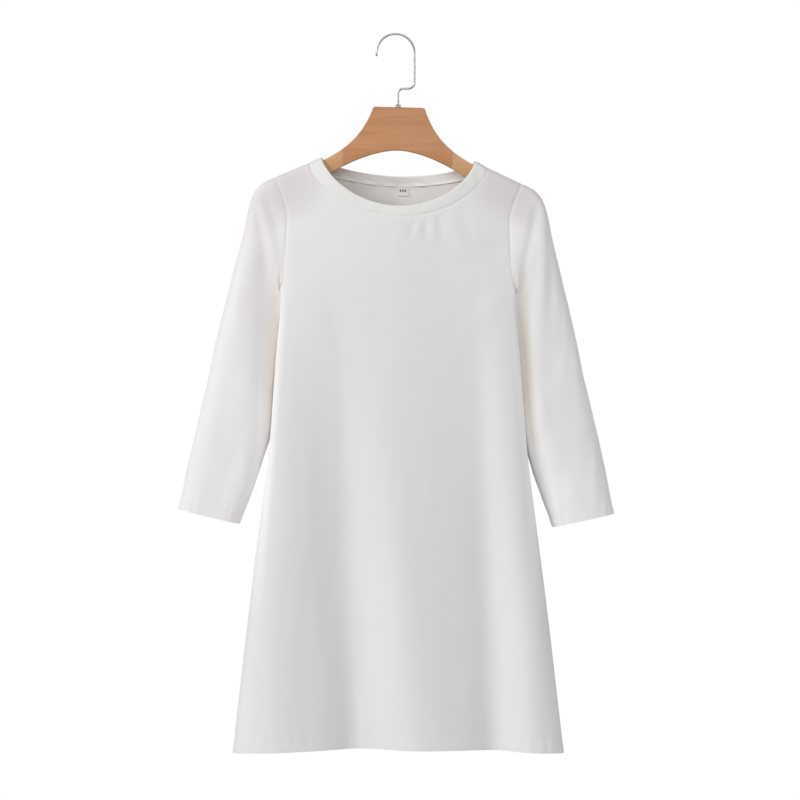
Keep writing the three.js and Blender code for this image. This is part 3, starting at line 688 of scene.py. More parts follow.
class DressSettings(bpy.types.PropertyGroup):
    cloth_thickness: length_property("Cloth Thickness", "Thickness of the single knit", 0.0012)
    band_thickness: length_property("Band Thickness", "Thickness of the folded neckband", 0.0021)
    seam_depth: length_property("Seam Depth", "How deep the cloth sinks in at a seam", 0.0009)
    hem_depth: length_property("Hem Depth", "Height of the turned-up hem", 0.014)
    cuff_depth: length_property("Cuff Depth", "Height of the turned-up sleeve hem", 0.013)
    stitch_length: length_property("Stitch Length", "Distance from one stitch to the next", 0.0032)
    wale: length_property("Wale Width", "Width of one column of knit loops", 0.0008)
    knit_colour: colour_property("Front Colour", "Colour of the front panel", (0.84, 0.828, 0.832))
    # Painted light: the sleeves get a lighter white than the front, though they are the same knit.
    sleeve_lit_colour: colour_property("Sleeve Colour", "Colour of the sleeves", (0.895, 0.883, 0.888))
    band_colour: colour_property("Band Colour", "Colour of the neckband", (0.84, 0.836, 0.828))
    # Painted light: the back gets a lighter white than the front, which lifts the shaded inside of the neck.
    back_lit_colour: colour_property("Back Colour", "Colour of the back panel", (0.89, 0.878, 0.882))
    # Painted shade: the darker, pinker tone over the hanger's arms and in the right sleeve's fold.
    painted_shade_tint: colour_property("Shoulder Tint", "Warm tone over the arms", (0.71, 0.645, 0.675))
    # Painted shade: a yellowish, darker tone on the sleeves beside the body.
    painted_gap_shade: colour_property("Sleeve Shade", "Yellowish tone beside the body", (0.82, 0.76, 0.66))
    # Painted light: a lighter tone along the body's sides and on the lower inner sleeves.
    painted_light_tint: colour_property("Edge Tint", "Lighter tone at the sides", (0.98, 0.962, 0.955))
    thread_colour: colour_property("Thread Colour", "Colour of the stitches", (0.88, 0.88, 0.87))
    tape_colour: colour_property("Label Colour", "Colour of the neck label", (0.86, 0.86, 0.86))


class HangerSettings(bpy.types.PropertyGroup):
    wood_thickness: length_property("Wood Thickness", "Thickness of the wooden hanger", 0.011)
    edge_radius: length_property("Edge Radius", "Rounding of the wood's edges", 0.0022)
    wire_radius: length_property("Wire Radius", "Radius of the hook's wire", 0.0014)
    wood_light: colour_property("Light Grain", "Lighter tone of the beech", (0.63, 0.29, 0.115))
    wood_dark: colour_property("Dark Grain", "Darker tone of the beech", (0.48, 0.195, 0.068))
    arm_light: colour_property("Light Grain of the Arms", "Lighter tone of the arms", (0.71, 0.405, 0.19))
    arm_dark: colour_property("Dark Grain of the Arms", "Darker tone of the arms", (0.56, 0.29, 0.12))
    steel_colour: colour_property("Steel Colour", "Colour of the hook and its nut", (0.5, 0.49, 0.48))


class StageSettings(bpy.types.PropertyGroup):
    camera_distance: length_property("Camera Distance", "From the camera to the dress", 4.5)
    view_width: length_property("View Width", "Width of the view at the dress", 1.12)
    floor_radius: length_property("Floor Radius", "Radius of the round floor", 1.3)
    floor_drop: length_property("Floor Drop", "Distance of the floor below the rail", 1.75)
    floor_colour: colour_property("Floor Colour", "Colour of the floor", (0.8, 0.8, 0.8))
    key_power: power_property("Key Light", "Power of the main light", 114)
    fill_power: power_property("Fill Light", "Power of the fill light", 108)
    side_power: power_property("Side Light", "Power of the right light, shared by the left and back", 95)
    sky_level: bpy.props.FloatProperty(
        name="Sky Level", description="Even light all round", default=0.335
    )


class DressScene(bpy.types.PropertyGroup):
    dress: bpy.props.PointerProperty(type=DressSettings)
    hanger: bpy.props.PointerProperty(type=HangerSettings)
    stage: bpy.props.PointerProperty(type=StageSettings)


# ---- Cloth pieces ----

NECK_SHARE = NECK_X / SHOULDER_X


def neck_columns(count):
    """Shares of a panel's width along the neckline, closer together at its corner."""
    even = np.linspace(0, 1, count)
    return NECK_SHARE * (0.45 * even + 0.55 * np.sin(even * math.pi / 2))


def panel_columns():
    """Shares of a panel's half width, mirrored."""
    neck = neck_columns(52)
    strap = NECK_SHARE + (1 - NECK_SHARE) * np.linspace(0, 1, 33)[1:]
    half = np.concatenate([neck, strap])
    return np.concatenate([-half[:0:-1], half])


def panel_levels():
    upper = SHOULDER_DROP + (ARMHOLE_TURN - SHOULDER_DROP) * np.linspace(0, 1, 54) ** 1.4
    turn = ARMHOLE_TURN + (UNDERARM - ARMHOLE_TURN) * np.sin(np.linspace(0, math.pi / 2, 31)[1:])
    lower = UNDERARM + (HEM_DROP - UNDERARM) * np.linspace(0, 1, 128)[1:]
    return np.concatenate([upper, turn, lower])


def groove(distance, width):
    return np.exp(-((distance / width) ** 2))


def panel_details(panel, x, drop, points, settings):
    """How far each point of a panel moves out of its smooth form: creases, seams and the hem."""
    to_side = run_lengths(points, 1)
    to_side = np.minimum(to_side, to_side[:, -1:] - to_side)
    to_top = run_lengths(points, 0)
    to_hem = to_top[-1:] - to_top
    low = ease(drop, 420, 760)
    seed = 3 if panel == "front" else 11
    height = (0.2 + 0.4 * low) * ripple(x, drop, 95, 900, seed)
    height += 0.1 * ripple(x, drop, 46, 420, seed + 1)
    for crease in CREASES[panel]:
        height += crease_height(x, drop, *crease)
    inset = settings.seam_depth / MM
    height = height * ease(to_side, 0, 25) * ease(to_top, 0, 18)
    height -= inset * groove(to_side, 2.2) * ease(to_hem, 0, 6)
    height -= 0.6 * inset * groove(to_top, 2.0)
    hem = settings.hem_depth / MM
    height += 0.5 * ease(to_hem, hem + 2.5, hem - 1.5)
    height -= 0.5 * groove(to_hem - hem, 1.6)
    height += 0.35 * ripple(x, drop, 17, 90, seed + 2) * groove(to_hem - hem * 0.7, 16)
    return height


def crease_height(x, drop, x0, drop0, x1, drop1, width, height):
    """A soft ridge, or trough if negative, along a line between two points of a panel."""
    along = np.array([x1 - x0, drop1 - drop0], float)
    length = np.linalg.norm(along)
    along /= length
    run = ((x - x0) * along[0] + (drop - drop0) * along[1]) / length
    off = (x - x0) * along[1] - (drop - drop0) * along[0]
    fade = np.clip(4 * run * (1 - run), 0, 1) ** 0.7
    spread = width * (0.7 + 0.6 * np.clip(run, 0, 1))
    return height * fade * groove(off, spread)


# Small creases: the two ends as x and drop, the half width and the height.
CREASES = {
    "front": [
        (26, 250, 14, 290, 3.2, -0.9),
        (33, 250, 25, 286, 3.4, 0.8),
        (39, 247, 38, 292, 3.2, -1.0),
        (47, 246, 50, 290, 3.6, 0.8),
        (53, 242, 62, 284, 3.4, -0.9),
        (66, 236, 92, 312, 8, 0.9),
        (84, 228, 108, 296, 6, -0.6),
        (-46, 262, -60, 340, 12, 0.4),
        (-148, 360, -70, 470, 14, 1.2),
        (150, 350, 88, 430, 14, 1.0),
        (-152, 300, -96, 330, 10, -0.6),
        (152, 290, 100, 316, 10, -0.6),
    ],
    "back": [
        (-140, 350, -60, 470, 15, 1.4),
        (142, 345, 70, 440, 15, 1.3),
        (-60, 225, 50, 236, 12, -0.8),
        (-20, 240, 40, 262, 14, 0.8),
    ],
}


def cloth_panel(panel, settings):
    columns = panel_columns()
    if panel == "back":
        columns = columns[::-1]
    levels = panel_levels()
    x, y, drop = panel_point(panel, columns[None, :], levels[:, None])
    smooth = place(x, y, drop)
    normal = grid_normals(smooth, False)
    height = panel_details(panel, x, drop, smooth, settings)
    outer = smooth + normal * height[..., None]
    thickness = settings.cloth_thickness / MM
    to_hem = run_lengths(smooth, 0)
    to_hem = to_hem[-1:] - to_hem
    hem = settings.hem_depth / MM
    wall = thickness * (1 + 0.8 * ease(to_hem, hem + 1, hem - 1))
    uv = np.stack([x + 0 * drop, drop], axis=-1) * MM
    edged, ways = outer, normal
    if panel == "back":
        on_shoulder = ease(np.abs(columns), NECK_SHARE + 0.01, NECK_SHARE + 0.04)
        edged, ways = tuck_under(edged, ways, share=on_shoulder)
        for flip in (slice(None), slice(None, None, -1)):
            turned = [grid[:, flip].transpose(1, 0, 2) for grid in (edged, ways)]
            edged, ways = (grid.transpose(1, 0, 2)[:, flip] for grid in tuck_under(*turned))
        uv = np.pad(uv, ((1, 0), (1, 1), (0, 0)), mode="edge")
        wall = np.pad(wall, ((1, 0), (1, 1)), mode="edge")
        wall[0] = blend(wall[0], TUCK_WALL, np.pad(on_shoulder, 1, mode="edge"))
        wall[:, [0, -1]] = TUCK_WALL
    inner = edged - ways * wall[..., None]
    return shell(f"dress_{panel}_cloth", edged, inner, uv), outer, normal


# Creases of the sleeves' front and back: two ends as distance from the centre line and drop,
# the half width and the height.
SLEEVE_CREASES = {
    1: {
        "front": [
            (194, 232, 164, 385, 8, -3.2),
            (170, 380, 184, 600, 8, 0.9),
            (203, 226, 200, 430, 10, 3.0),
            (193, 330, 202, 640, 12, 2.2),
            (214, 300, 232, 520, 14, -0.8),
            (205, 500, 240, 640, 12, -0.7),
        ],
        "back": [
            (196, 222, 166, 340, 11, 1.5),
            (190, 300, 214, 470, 12, -1.2),
            (220, 400, 250, 600, 13, 1.0),
        ],
    },
    -1: {
        "front": [
            (198, 226, 162, 356, 7, 2.4),
            (187, 226, 158, 300, 7, -1.6),
            (198, 238, 173, 370, 12, -5.5),
            (186, 380, 188, 600, 13, -1.2),
            (194, 340, 236, 720, 19, 2.6),
            (216, 330, 250, 560, 14, 0.9),
            (206, 500, 238, 640, 11, -0.7),
        ],
        "back": [
            (200, 226, 168, 345, 11, 1.4),
            (186, 320, 222, 500, 13, -1.1),
            (228, 420, 252, 610, 12, 0.9),
        ],
    },
}


# The hollow under the arm: its place as distance from the centre line and drop, its half
# sizes, and how far the cloth moves in and forward there.
POCKET_X, POCKET_DROP = 167, 374
POCKET_WIDTH, POCKET_HEIGHT = 12, 24
POCKET_IN, POCKET_FORWARD = 5.5, 2.5


def pocket_in(points, ring, side):
    """Moves the front of a sleeve in under the arm, so that it closes up behind the body."""
    aside, depth, below = side * (points[..., 0] - CENTRE_X), -points[..., 1], -points[..., 2]
    here = groove(aside - POCKET_X, POCKET_WIDTH) * groove(below - POCKET_DROP, POCKET_HEIGHT)
    here = here * ease(depth, 2, 18) * ease(ring, 0, 0.03)
    return points + here[..., None] * (-POCKET_IN * side, -POCKET_FORWARD, 0.0)


def sleeve_cloth(side, settings):
    """One sleeve: its rings run from the armhole to the cuff, and its wall thins in the pocket."""
    stations = 132
    turns = np.arange(stations) / stations
    if side > 0:
        turns = turns[::-1]
    half = (UNDERARM - SHOULDER_DROP) / 2
    level = SHOULDER_DROP + half * (1 - np.cos(turns * math.tau))
    level = np.clip(level, SHOULDER_DROP, UNDERARM)
    front = turns <= 0.5
    rings = np.linspace(0, 1, 130) ** 1.15
    shape = (len(rings), stations)
    ring = np.broadcast_to(rings[:, None], shape)
    x, y, drop = np.empty(shape), np.empty(shape), np.empty(shape)
    for panel, chosen in (("front", front), ("back", ~front)):
        wide = np.broadcast_to(level[chosen], (len(rings), chosen.sum()))
        x[:, chosen], y[:, chosen], drop[:, chosen] = sleeve_point(side, panel, wide, ring[:, chosen])
    under = ease(level, 275, 338) * (1 - ease(ring, 0.14, 0.38))
    smooth = relax(pocket_in(place(x, y, drop), ring, side), under, 60)
    down = run_lengths(smooth, 0)
    normal = grid_normals(smooth, True)
    to_cuff = down[-1:] - down
    angle = np.broadcast_to(turns, shape)
    height = 0.5 * ripple(np.cos(angle * math.tau) * 60, down, 70, 260, 20 + side)
    height += 0.35 * ripple(np.sin(angle * math.tau) * 60, down, 50, 160, 30 + side)
    facing = {"front": ease(-normal[..., 1], 0.1, 0.6), "back": ease(normal[..., 1], 0.1, 0.6)}
    for panel, creases in SLEEVE_CREASES[side].items():
        for crease in creases:
            height += facing[panel] * crease_height(side * x, drop, *crease)
    height *= ease(down, 0, 16) * ease(to_cuff, 0, 30)
    height -= settings.seam_depth / MM * groove(down, 2.2)
    cuff = settings.cuff_depth / MM
    height += 0.45 * ease(to_cuff, cuff + 2.5, cuff - 1.5)
    height -= 0.5 * groove(to_cuff - cuff, 1.6)
    height += 0.35 * ripple(angle * 250, to_cuff, 15, 60, 40 + side) * groove(to_cuff - cuff * 0.7, 14)
    outer = smooth + normal * (height * (1 - 0.8 * under))[..., None]
    wall = settings.cloth_thickness / MM * (1 + 0.8 * ease(to_cuff, cuff + 1, cuff - 1)) * (1 - 0.7 * under)
    uv = np.stack([angle * 0.26, down * MM], axis=-1)
    edged, ways = tuck_under(outer, normal, share=1 - 0.8 * ease(level, 315, 338))
    uv, wall = np.vstack([uv[:1], uv]), np.vstack([0 * wall[:1] + TUCK_WALL, wall])
    inner = edged - ways * wall[..., None]
    name = "sleeve_left_cloth" if side > 0 else "sleeve_right_cloth"
    return shell(name, edged, inner, uv, True), outer, normal


def band_point(panel, across, rise):
    """Points of the neckband above a panel's neckline: rise is 0 at its seam and 1 at its edge."""
    x, y, drop = panel_point(panel, across, np.full_like(across, SHOULDER_DROP))
    seam = place(x, y, drop)
    share = x / NECK_X
    centre = np.sqrt(np.clip(1 - share * share, 0, 1))
    edge_drop = EDGE_DROP + (EDGE_LOW[panel] - EDGE_DROP) * centre**NECK_ROUND
    edge = place(share * EDGE_X, EDGE_Y[panel] * centre**0.6, edge_drop)
    return seam + (edge - seam) * rise


def neckband_cloth(settings):
    half = neck_columns(76)
    share = np.concatenate([-half[:0:-1], half])
    rises = np.linspace(1, 0, 13)
    front = np.stack([band_point("front", share, rise) for rise in rises])
    back = np.stack([band_point("back", share[-2:0:-1], rise) for rise in rises])
    smooth = np.concatenate([front, back], axis=1)
    normal = grid_normals(smooth, True)
    to_edge = run_lengths(smooth, 0)
    width = to_edge[-1:]
    thickness = settings.band_thickness / MM
    round_off = np.sqrt(np.clip(1 - (1 - np.minimum(to_edge / 1.3, 1)) ** 2, 0, 1))
    run = run_lengths(smooth, 1)
    lumps = 0.18 * ripple(run, to_edge, 26, 40, 50)
    puff = 0.25 * np.sin(math.pi * np.clip(to_edge / width, 0, 1)) + lumps
    sink = 0.6 * settings.seam_depth / MM * groove(width - to_edge, 2.0)
    outer = smooth + normal * ((puff - sink) * round_off - thickness * 0.5 * (1 - round_off))[..., None]
    at_seam = ease(width - to_edge, 6, 0)
    wall = blend(thickness * np.maximum(round_off, 0.05), settings.cloth_thickness / MM + 0.1, at_seam)
    uv = np.stack([to_edge, run], axis=-1) * MM
    edged, ways = (grid[::-1] for grid in tuck_under(outer[::-1], normal[::-1], 3.0))
    uv, wall = np.vstack([uv, uv[-1:]]), np.vstack([wall, 0 * wall[-1:] + TUCK_WALL])
    inner = edged - ways * wall[..., None]
    return shell("neckband_cloth", edged, inner, uv, True), outer, normal


def neck_label(settings):
    """A small tag on the inside of the back panel, a little curled at its lower edge."""
    width, top, bottom, middle = 17.0, 209.5, 223.0, 6.7
    low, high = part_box("neck_label")
    u, v = np.meshgrid(np.linspace(0, 1, 19), np.linspace(0, 1, 15))
    x = middle + (u - 0.5) * width
    drop = blend(top, bottom, v)
    section = HalfSections("back", drop.ravel(), np.ones(drop.size))
    _, y = section.walk(section.length_to(np.abs(x.ravel())))
    y = y.reshape(drop.shape) - settings.cloth_thickness / MM - 0.5
    curl = 1.1 * v**3 + 0.25 * np.sin(u * math.pi) * v
    face = place(x, y - curl, drop)
    normal = grid_normals(face, False)
    back = face - normal * 0.45
    assert low[2] - 0.003 < face[..., 2].min() * MM and face[..., 2].max() * MM < high[2] + 0.003
    return shell("neck_label_tape", face, back, np.stack([u, 1 - v], axis=-1))


# ---- Stitches ----

STITCH_LIFT = 0.12
BAND_STITCH_LIFT, BAND_STITCH_INSET = 0.1, 2.4


def stitch_tree(name, material):
    """Geometry Nodes: short thread stitches along a line of points, lying on the cloth."""
    tree = bpy.data.node_groups.new(name, "GeometryNodeTree")
    face = tree.interface
    face.new_socket("Geometry", in_out="INPUT", socket_type="NodeSocketGeometry")
    for label, default in (("Stitch Length", 0.0032), ("Thread Radius", 0.00022), ("Fill", 0.7)):
        socket = face.new_socket(label, in_out="INPUT", socket_type="NodeSocketFloat")
        socket.default_value = default
    seed = face.new_socket("Seed", in_out="INPUT", socket_type="NodeSocketInt")
    seed.default_value = 1
    face.new_socket("Geometry", in_out="OUTPUT", socket_type="NodeSocketGeometry")
    nodes, link = tree.nodes, tree.links.new
    start, end = nodes.new("NodeGroupInput"), nodes.new("NodeGroupOutput")
    normal = nodes.new("GeometryNodeInputNamedAttribute")
    normal.data_type = "FLOAT_VECTOR"
    normal.inputs["Name"].default_value = "cloth_normal"
    curve = nodes.new("GeometryNodeMeshToCurve")
    points = nodes.new("GeometryNodeCurveToPoints")
    points.mode = "LENGTH"
    link(start.outputs["Geometry"], curve.inputs["Mesh"])
    link(curve.outputs["Curve"], points.inputs["Curve"])
    link(start.outputs["Stitch Length"], points.inputs["Length"])
    bead = nodes.new("GeometryNodeMeshCylinder")
    bead.fill_type = "NGON"
    for label, value in (("Vertices", 6), ("Side Segments", 3)):
        bead.inputs[label].default_value = value
    length = nodes.new("ShaderNodeMath")
    length.operation = "MULTIPLY"
    link(start.outputs["Stitch Length"], length.inputs[0])
    link(start.outputs["Fill"], length.inputs[1])
    link(start.outputs["Thread Radius"], bead.inputs["Radius"])
    link(length.outputs[0], bead.inputs["Depth"])
    turn = nodes.new("FunctionNodeAlignRotationToVector")
    turn.axis = "Z"
    link(points.outputs["Tangent"], turn.inputs["Vector"])
    place_stitch = nodes.new("GeometryNodeInstanceOnPoints")
    link(points.outputs["Points"], place_stitch.inputs["Points"])
    link(bead.outputs["Mesh"], place_stitch.inputs["Instance"])
    link(turn.outputs["Rotation"], place_stitch.inputs["Rotation"])
    jitter = nodes.new("FunctionNodeRandomValue")
    jitter.data_type = "FLOAT_VECTOR"
    jitter.inputs[0].default_value = (0.9, 0.9, 0.88)
    jitter.inputs[1].default_value = (1.1, 1.1, 1.05)
    link(start.outputs["Seed"], jitter.inputs["Seed"])
    link(jitter.outputs[0], place_stitch.inputs["Scale"])
    real = nodes.new("GeometryNodeRealizeInstances")
    finish = nodes.new("GeometryNodeSetMaterial")
    finish.inputs["Material"].default_value = material
    link(place_stitch.outputs["Instances"], real.inputs["Geometry"])
    link(real.outputs["Geometry"], finish.inputs["Geometry"])
    link(finish.outputs["Geometry"], end.inputs["Geometry"])
    return tree


def grid_line(outer, normal, distance, lift):
    """Points on a grid at a distance from its last row, lifted off the cloth."""
    outer, normal = outer[::-1], normal[::-1]
    run = run_lengths(outer, 0)
    points = []
    for j in range(outer.shape[1]):
        at = [np.interp(distance, run[:, j], outer[:, j, k]) for k in range(3)]
        way = [np.interp(distance, run[:, j], normal[:, j, k]) for k in range(3)]
        points.append(np.array(at) + np.array(way) * lift)
    return np.array(points)


def stitch_row(name, lines, settings, material, seed):
    """Runs the stitch tree along lines of points and returns one plain mesh."""
    vertices, edges = [], []
    for points, closed in lines:
        first = len(vertices)
        vertices += (points * MM).tolist()
        edges += [(first + k, first + k + 1) for k in range(len(points) - 1)]
        if closed:
            edges.append((first + len(points) - 1, first))
    mesh = bpy.data.meshes.new(name)
    mesh.from_pydata(vertices, edges, [])
    guide = bpy.data.objects.new(name + "_guide", mesh)
    bpy.context.scene.collection.objects.link(guide)
    tree = stitch_tree(name, material)
    modifier = guide.modifiers.new("Stitches", "NODES")
    modifier.node_group = tree
    sockets = {item.name: item.identifier for item in tree.interface.items_tree if item.in_out == "INPUT"}
    modifier[sockets["Stitch Length"]] = settings.stitch_length
    modifier[sockets["Seed"]] = seed
    graph = bpy.context.evaluated_depsgraph_get()
    made = bpy.data.meshes.new_from_object(guide.evaluated_get(graph))
    bpy.data.objects.remove(guide)
    made.polygons.foreach_set("use_smooth", [True] * len(made.polygons))
    piece = bpy.data.objects.new(name, made)
    bpy.context.scene.collection.objects.link(piece)
    if not made.polygons:
        raise RuntimeError(f"{name} has no stitches")
    return piece


# ---- Hanger ----

WOOD_TOP, WOOD_JOINT, WOOD_X, JOINT_GAP = 101.5, 77.0, 1.2, 0.3


def bezier(points, steps):
    t = np.linspace(0, 1, steps + 1)[:, None]
    a, b, c, d = (np.array(p, float) for p in points)
    return a * (1 - t) ** 3 + 3 * b * t * (1 - t) ** 2 + 3 * c * t * t * (1 - t) + d * t**3


TOP_EDGE = np.vstack([bezier([(38, 6.6), (51.3, 40), (70.1, 58.4), (100.7, 75)], 40), [(184, 113.6)]])
LOWER_EDGE = np.vstack([
    bezier([(0, 60.2), (30, 60.2), (70, 78.5), (94.5, 95)], 40),
    [(125, 109.5), (160, 124), (180, 131)],
])


def edge_between(edge, start, end):
    inside = edge[(edge[:, 0] > start + 0.5) & (edge[:, 0] < end - 0.5)]
    ends = [(x, np.interp(x, edge[:, 0], edge[:, 1])) for x in (start, end)]
    return np.vstack([ends[:1], inside, ends[1:]])


def board(name, outline, settings, tilt):
    """A flat board from an outline of x and drop, with rounded edges."""
    thickness, radius = settings.wood_thickness / MM, settings.edge_radius / MM
    cos, sin = math.cos(tilt), math.sin(tilt)
    x, drop = outline[:, 0], outline[:, 1]
    flat = np.stack([CENTRE_X + WOOD_X + x * cos - drop * sin, -WOOD_TOP - drop * cos - x * sin], axis=-1)
    if np.sum(flat[:, 0] * np.roll(flat[:, 1], -1) - np.roll(flat[:, 0], -1) * flat[:, 1]) < 0:
        flat = flat[::-1]
    count = len(flat)
    front = np.insert(flat, 1, -thickness / 2, axis=1)
    back = np.insert(flat, 1, thickness / 2, axis=1)
    faces = [tuple(range(count)), tuple(range(2 * count - 1, count - 1, -1))]
    faces += [(j, j + count, (j + 1) % count + count, (j + 1) % count) for j in range(count)]
    piece = new_piece(name, np.vstack([front, back]), faces)
    bevel = piece.modifiers.new("Rounded Edge", "BEVEL")
    bevel.width, bevel.segments = radius * MM, 5
    bevel.limit_method, bevel.angle_limit = "ANGLE", math.radians(50)
    graph = bpy.context.evaluated_depsgraph_get()
    made = bpy.data.meshes.new_from_object(piece.evaluated_get(graph))
    piece.modifiers.clear()
    piece.data = made
    made.set_sharp_from_angle(angle=math.radians(40))
    return piece


def sweep(name, path, radius, sides):
    """A round wire along a path in the plane of X and Z, with domed ends."""
    path = np.asarray(path, float)
    way = np.gradient(path, axis=0)
    way /= np.linalg.norm(way, axis=1, keepdims=True)
    aside = np.stack([way[:, 1], -way[:, 0]], axis=-1)
    rings = []
    dome = np.linspace(0, math.pi / 2, 5)[:-1]
    starts = [(path[0] - way[0] * radius * math.cos(a), aside[0], radius * math.sin(a)) for a in dome]
    ends = [(path[-1] + way[-1] * radius * math.cos(a), aside[-1], radius * math.sin(a)) for a in dome[::-1]]
    middle = [(p, n, radius) for p, n in zip(path, aside)]
    for centre, across, r in starts[1:] + middle + ends[:-1]:
        angle = np.arange(sides) / sides * math.tau
        rings.append(np.stack([
            centre[0] + across[0] * r * np.cos(angle),
            r * np.sin(angle),
            centre[1] + across[1] * r * np.cos(angle),
        ], axis=-1))
    count = len(rings)
    tips = [np.array([[p[0], 0, p[1]]]) for p in (starts[0][0], ends[-1][0])]
    vertices = np.vstack(rings + tips)
    faces = []
    for i in range(count - 1):
        for j in range(sides):
            k = (j + 1) % sides
            faces.append((i * sides + j, i * sides + k, (i + 1) * sides + k, (i + 1) * sides + j))
    first, last = count * sides, count * sides + 1
    faces += [(first, (j + 1) % sides, j) for j in range(sides)]
    faces += [(last, (count - 1) * sides + j, (count - 1) * sides + (j + 1) % sides) for j in range(sides)]
    return new_piece(name, vertices, faces)


def arc(centre, radius, start, end, steps):
    angle = np.radians(np.linspace(start, end, steps))
    return np.stack([centre[0] + radius * np.cos(angle), centre[1] + radius * np.sin(angle)], axis=-1)


def hook_path(wire):
    """Round over the rail, down a straight shank, in along a crank and down its neck."""
    bend, shank, crank, neck, foot = 26.6, 41.0, 9.0, 7.0, 101.2 - wire
    centre = (0.8, wire - bend)
    right = centre[0] + bend
    low = centre[1] - shank
    return np.vstack([
        arc(centre, bend, 187.2, 0, 60),
        np.linspace((right, centre[1] - 2), (right, low + 2), 12),
        arc((right - crank, low), crank, 0, -90, 16),
        arc((CENTRE_X + neck, low - crank - neck), neck, 90, 180, 16),
        np.linspace((CENTRE_X, low - crank - neck - 2), (CENTRE_X, -foot), 6),
    ])


def lathe(name, profile, centre, sides):
    profile = np.asarray(profile, float)
    angle = np.arange(sides) / sides * math.tau
    across, away = np.cos(angle), np.sin(angle)
    ring = [np.stack([centre[0] + r * across, r * away, 0 * angle + z], axis=-1) for r, z in profile]
    count = len(profile)
    faces = []
    for i in range(count):
        for j in range(sides):
            k, n = (j + 1) % sides, (i + 1) % count
            faces.append((i * sides + j, i * sides + k, n * sides + k, n * sides + j))
    piece = new_piece(name, np.vstack(ring), faces)
    piece.data.set_sharp_from_angle(angle=math.radians(35))
    return piece


# ---- Operators ----


def settings_of(context):
    return context.scene.dress_on_hanger


class BuildDress(bpy.types.Operator):
    """Builds the front, the back and the sleeves, and sews the hem and the cuffs"""

    bl_idname = "dress.build_cloth"
    bl_label = "Build Dress"

    def execute(self, context):
        settings = settings_of(context).dress
        # Painted shade over the hanger's arms, mixed into the front's and the sleeves' knit colour.
        painted_tints = [(settings.painted_shade_tint, 0.75, SHADE_OVER_THE_ARMS)]
        # Painted light along the body's sides, mixed into the front's knit colour.
        edges = [(settings.painted_light_tint, 0.9, LIGHT_ON_THE_SIDES)]
        wale, course = settings.wale, settings.wale * 0.8
        knit = {
            "front": knit_material("white_knit_front", settings.knit_colour, wale, course, painted_tints + edges),
            "back": knit_material("white_knit_back", settings.back_lit_colour, wale, course),
        }
        # Painted light on the lower inner sleeves, mixed into the sleeves' knit colour.
        painted_tints.append((settings.painted_light_tint, 1.0, LIGHT_ON_INNER_SLEEVES))
        # Painted yellowish shade on the sleeves beside the body.
        painted_tints.append((settings.painted_gap_shade, 0.9, SHADE_BEHIND_THE_BODY))
        # Painted shade in the right sleeve's fold, in the darker, pinker tone.
        fold = [(settings.painted_shade_tint, 0.45, SHADE_IN_THE_FOLD)]
        sleeve_knit = {
            1: knit_material("white_knit_left_sleeve", settings.sleeve_lit_colour, wale, course, painted_tints),
            -1: knit_material("white_knit_right_sleeve", settings.sleeve_lit_colour, wale, course, painted_tints + fold),
        }
        thread = thread_material("white_thread", settings.thread_colour)
        hem = settings.hem_depth / MM
        cuff = settings.cuff_depth / MM
        hem_lines = []
        for panel in ("front", "back"):
            piece, outer, normal = cloth_panel(panel, settings)
            finish_piece(piece, knit[panel], "knit", f"dress_{panel}")
            hem_lines.append((grid_line(outer, normal, hem, STITCH_LIFT), False))
        stitches = stitch_row("hem_stitches", hem_lines, settings, thread, 5)
        finish_piece(stitches, thread, "knit")
        for side, name in ((1, "sleeve_left"), (-1, "sleeve_right")):
            piece, outer, normal = sleeve_cloth(side, settings)
            finish_piece(piece, sleeve_knit[side], "knit", name)
            lines = [(grid_line(outer, normal, cuff, STITCH_LIFT), True)]
            finish_piece(stitch_row(name + "_stitches", lines, settings, thread, 7 + side), thread, "knit")
        return {"FINISHED"}


class BuildNeck(bpy.types.Operator):
    """Builds the folded neckband, its stitches and the small label inside the back neck"""

    bl_idname = "dress.build_neck"
    bl_label = "Build Neck"

    def execute(self, context):
        settings = settings_of(context).dress
        knit = knit_material("white_band_knit", settings.band_colour, settings.wale, settings.wale * 0.8)
        thread = thread_material("band_thread", settings.thread_colour)
        band, outer, normal = neckband_cloth(settings)
        finish_piece(band, knit, "band_knit", "neckband")
        lines = [(grid_line(outer, normal, BAND_STITCH_INSET, BAND_STITCH_LIFT), True)]
        finish_piece(stitch_row("neckband_stitches", lines, settings, thread, 9), thread, "band_knit")
        tape = label_material("label_tape", settings.tape_colour)
        label = finish_piece(neck_label(settings), tape, "tape", "neck_label")
        return {"FINISHED"}


